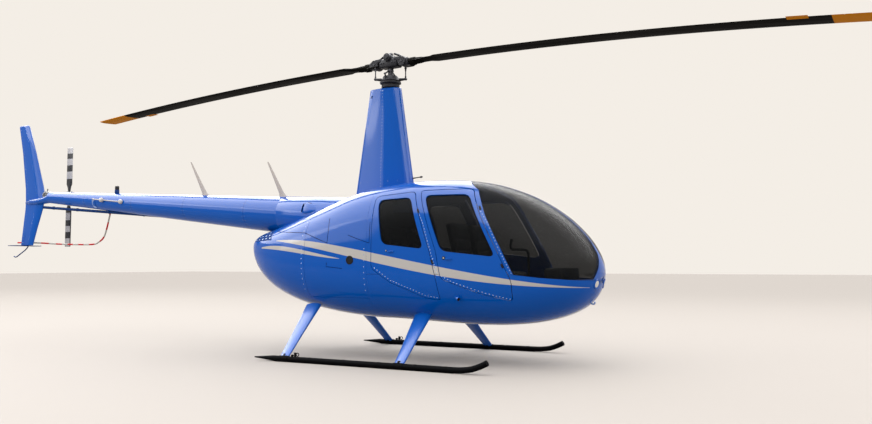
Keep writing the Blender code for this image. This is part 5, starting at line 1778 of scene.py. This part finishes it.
# Landing gear: two black tubular skids, and four legs of steel tube inside blue aerofoil fairings.
SKID_Y = 1.045
SKID_R = 0.028
SKID_Z = 0.031
SKID_RUN = (
    (-1.005, SKID_Z, 0.005), (
        -0.995, SKID_Z, 0.0065,
    ), (-0.760, SKID_Z, SKID_R), (-0.72, SKID_Z, SKID_R), (1.300, SKID_Z, SKID_R),
    (
        1.370, 0.0325, SKID_R,
    ), (1.440, 0.040, SKID_R), (1.490, 0.0505, SKID_R), (1.530, 0.064, SKID_R), (1.565, 0.0775, SKID_R),
    (1.600, 0.094, SKID_R), (1.6350, 0.112, SKID_R), (1.6352, 0.1121, 0.021),
)
LEGS = (("front", 0.722, 0.668, 0.440), ("rear", -0.626, -0.694, 0.500))
KNEE_Y = 0.495
# share of the way from foot to knee, half chord, half thickness
LEG_RINGS = (
    (0.02, 0.054, 0.023), (0.10, 0.056, 0.024), (0.5, 0.068, 0.026), (0.9, 0.086, 0.031),
    (1.10, 0.095, 0.034),
)
leg_paint, shader, place = finish(
    "leg_paint", coat_weight=1.0, coat_roughness=0.16, coat_ior=1.27, roughness=0.4, specular_ior_level=0.1,
)
feed(
    shader, base_color=place.noise(2.0).colours((0.0, 0.062, 0.31), (0.0, 0.070, 0.34)),
    roughness=place.noise(60.0) * 0.1 + 0.3,
)
for side, sign in (("right", -1), ("left", 1)):
    middle = sign * SKID_Y
    skid = Shape()
    skid.tube([at(x, middle, z) for x, z, _ in SKID_RUN], [r for *_, r in SKID_RUN], 28)
    skid.block(at(0.28, middle, 0.010), (1.020, 0.016, 0.010), bevel=0.003)
    for x in (-0.68, -0.30, 0.10, 0.50, 0.90, 1.22):
        skid.tube([at(x - 0.012, middle, SKID_Z), at(x + 0.012, middle, SKID_Z)], SKID_R + 0.0015, 24)
    for _, x, _, _ in LEGS:
        skid.tube([at(x - 0.055, middle, SKID_Z), at(x + 0.055, middle, SKID_Z)], SKID_R + 0.004, 24)
        skid.tube([at(x, middle, SKID_Z), at(x, middle - sign * 0.030, SKID_Z + 0.036)], 0.026, 16)
    lug_x = -0.485
    skid.block(at(lug_x, middle, 0.072), (0.012, 0.006, 0.028), bevel=0.003)
    turns = [2 * math.pi * k / 16 for k in range(17)]
    skid.tube(
        [at(lug_x + 0.030 + 0.016 * math.cos(t), middle, 0.080 + 0.016 * math.sin(t)) for t in turns], 0.0045,
        8,
    )
    skid.lathe(
        ((-0.012, 0.006), (-0.010, 0.011), (0.010, 0.011), (0.012, 0.006)), at(lug_x - 0.035, middle, 0.068),
        (0, 1, 0), 14,
    )
    dress(skid.piece(f"skid_tube_{side}", black_paint), "airframe", "black_paint", f"skid_{side}")
    for name, foot_x, top_x, top_z in LEGS:
        foot = at(foot_x, middle, SKID_Z + 0.010)
        knee = at(top_x, sign * KNEE_Y, top_z)
        slope = (knee - foot).normalized()
        chord = (Vector((1, 0, 0)) - slope * slope.x).normalized()
        thick = slope.cross(chord)
        leg = Shape()
        rings = []
        for share, half_chord, half_thick in LEG_RINGS:
            ring = []
            for k in range(36):
                t = 2 * math.pi * k / 36
                c, s = math.cos(t), math.sin(t)
                ring.append(
                    foot + (knee - foot) * share + chord * half_chord * c
                    + thick * half_thick * s * (0.9 + 0.12 * c)
                )
            rings.append(ring)
        leg.loft(rings)
        dress(
            leg.piece(f"{name}_leg_fairing_{side}", leg_paint), "airframe", "blue_paint",
            f"{name}_leg_{side}",
        )

# Door hinges: a short black barrel on the post at the top and the foot of each door's front edge.
HINGES = (("front", 1.352, 1.535), ("front", 1.604, 0.974), ("rear", 0.692, 1.523), ("rear", 0.868, 1.013))
reskin("cyclic_stick", black_plastic)
for sign, side in ((-1, "right"), (1, "left")):
    hinges = Shape()
    for end, x, z in HINGES:
        point, out = skin_point(x, z, sign)
        ahead, _ = skin_point(x + 0.02, z - 0.045, sign)
        along_post = (ahead - point).normalized()
        level = out.cross(along_post).normalized()
        hinges.block(point + out * 0.001, (0.010, 0.022, 0.003), (level, along_post, out), 0.002)
        hinges.tube(
            [point + out * 0.003 - along_post * 0.018, point + out * 0.003 + along_post * 0.018], 0.005, 10,
        )
    dress(hinges.piece(f"hinge_plates_{side}", black_plastic), "airframe", "black_paint")

# The air inlet under the nose: a short bent tube with an open end.
inlet = Shape()
inlet.tube(
    [at(2.262, 0, 0.630), at(2.282, 0, 0.607), at(2.304, 0, 0.603), at(2.314, 0, 0.616), at(2.309, 0, 0.628)],
    0.008, 12,
)
dress(inlet.piece("nose_inlet", pale_blue), "airframe", "blue_paint")
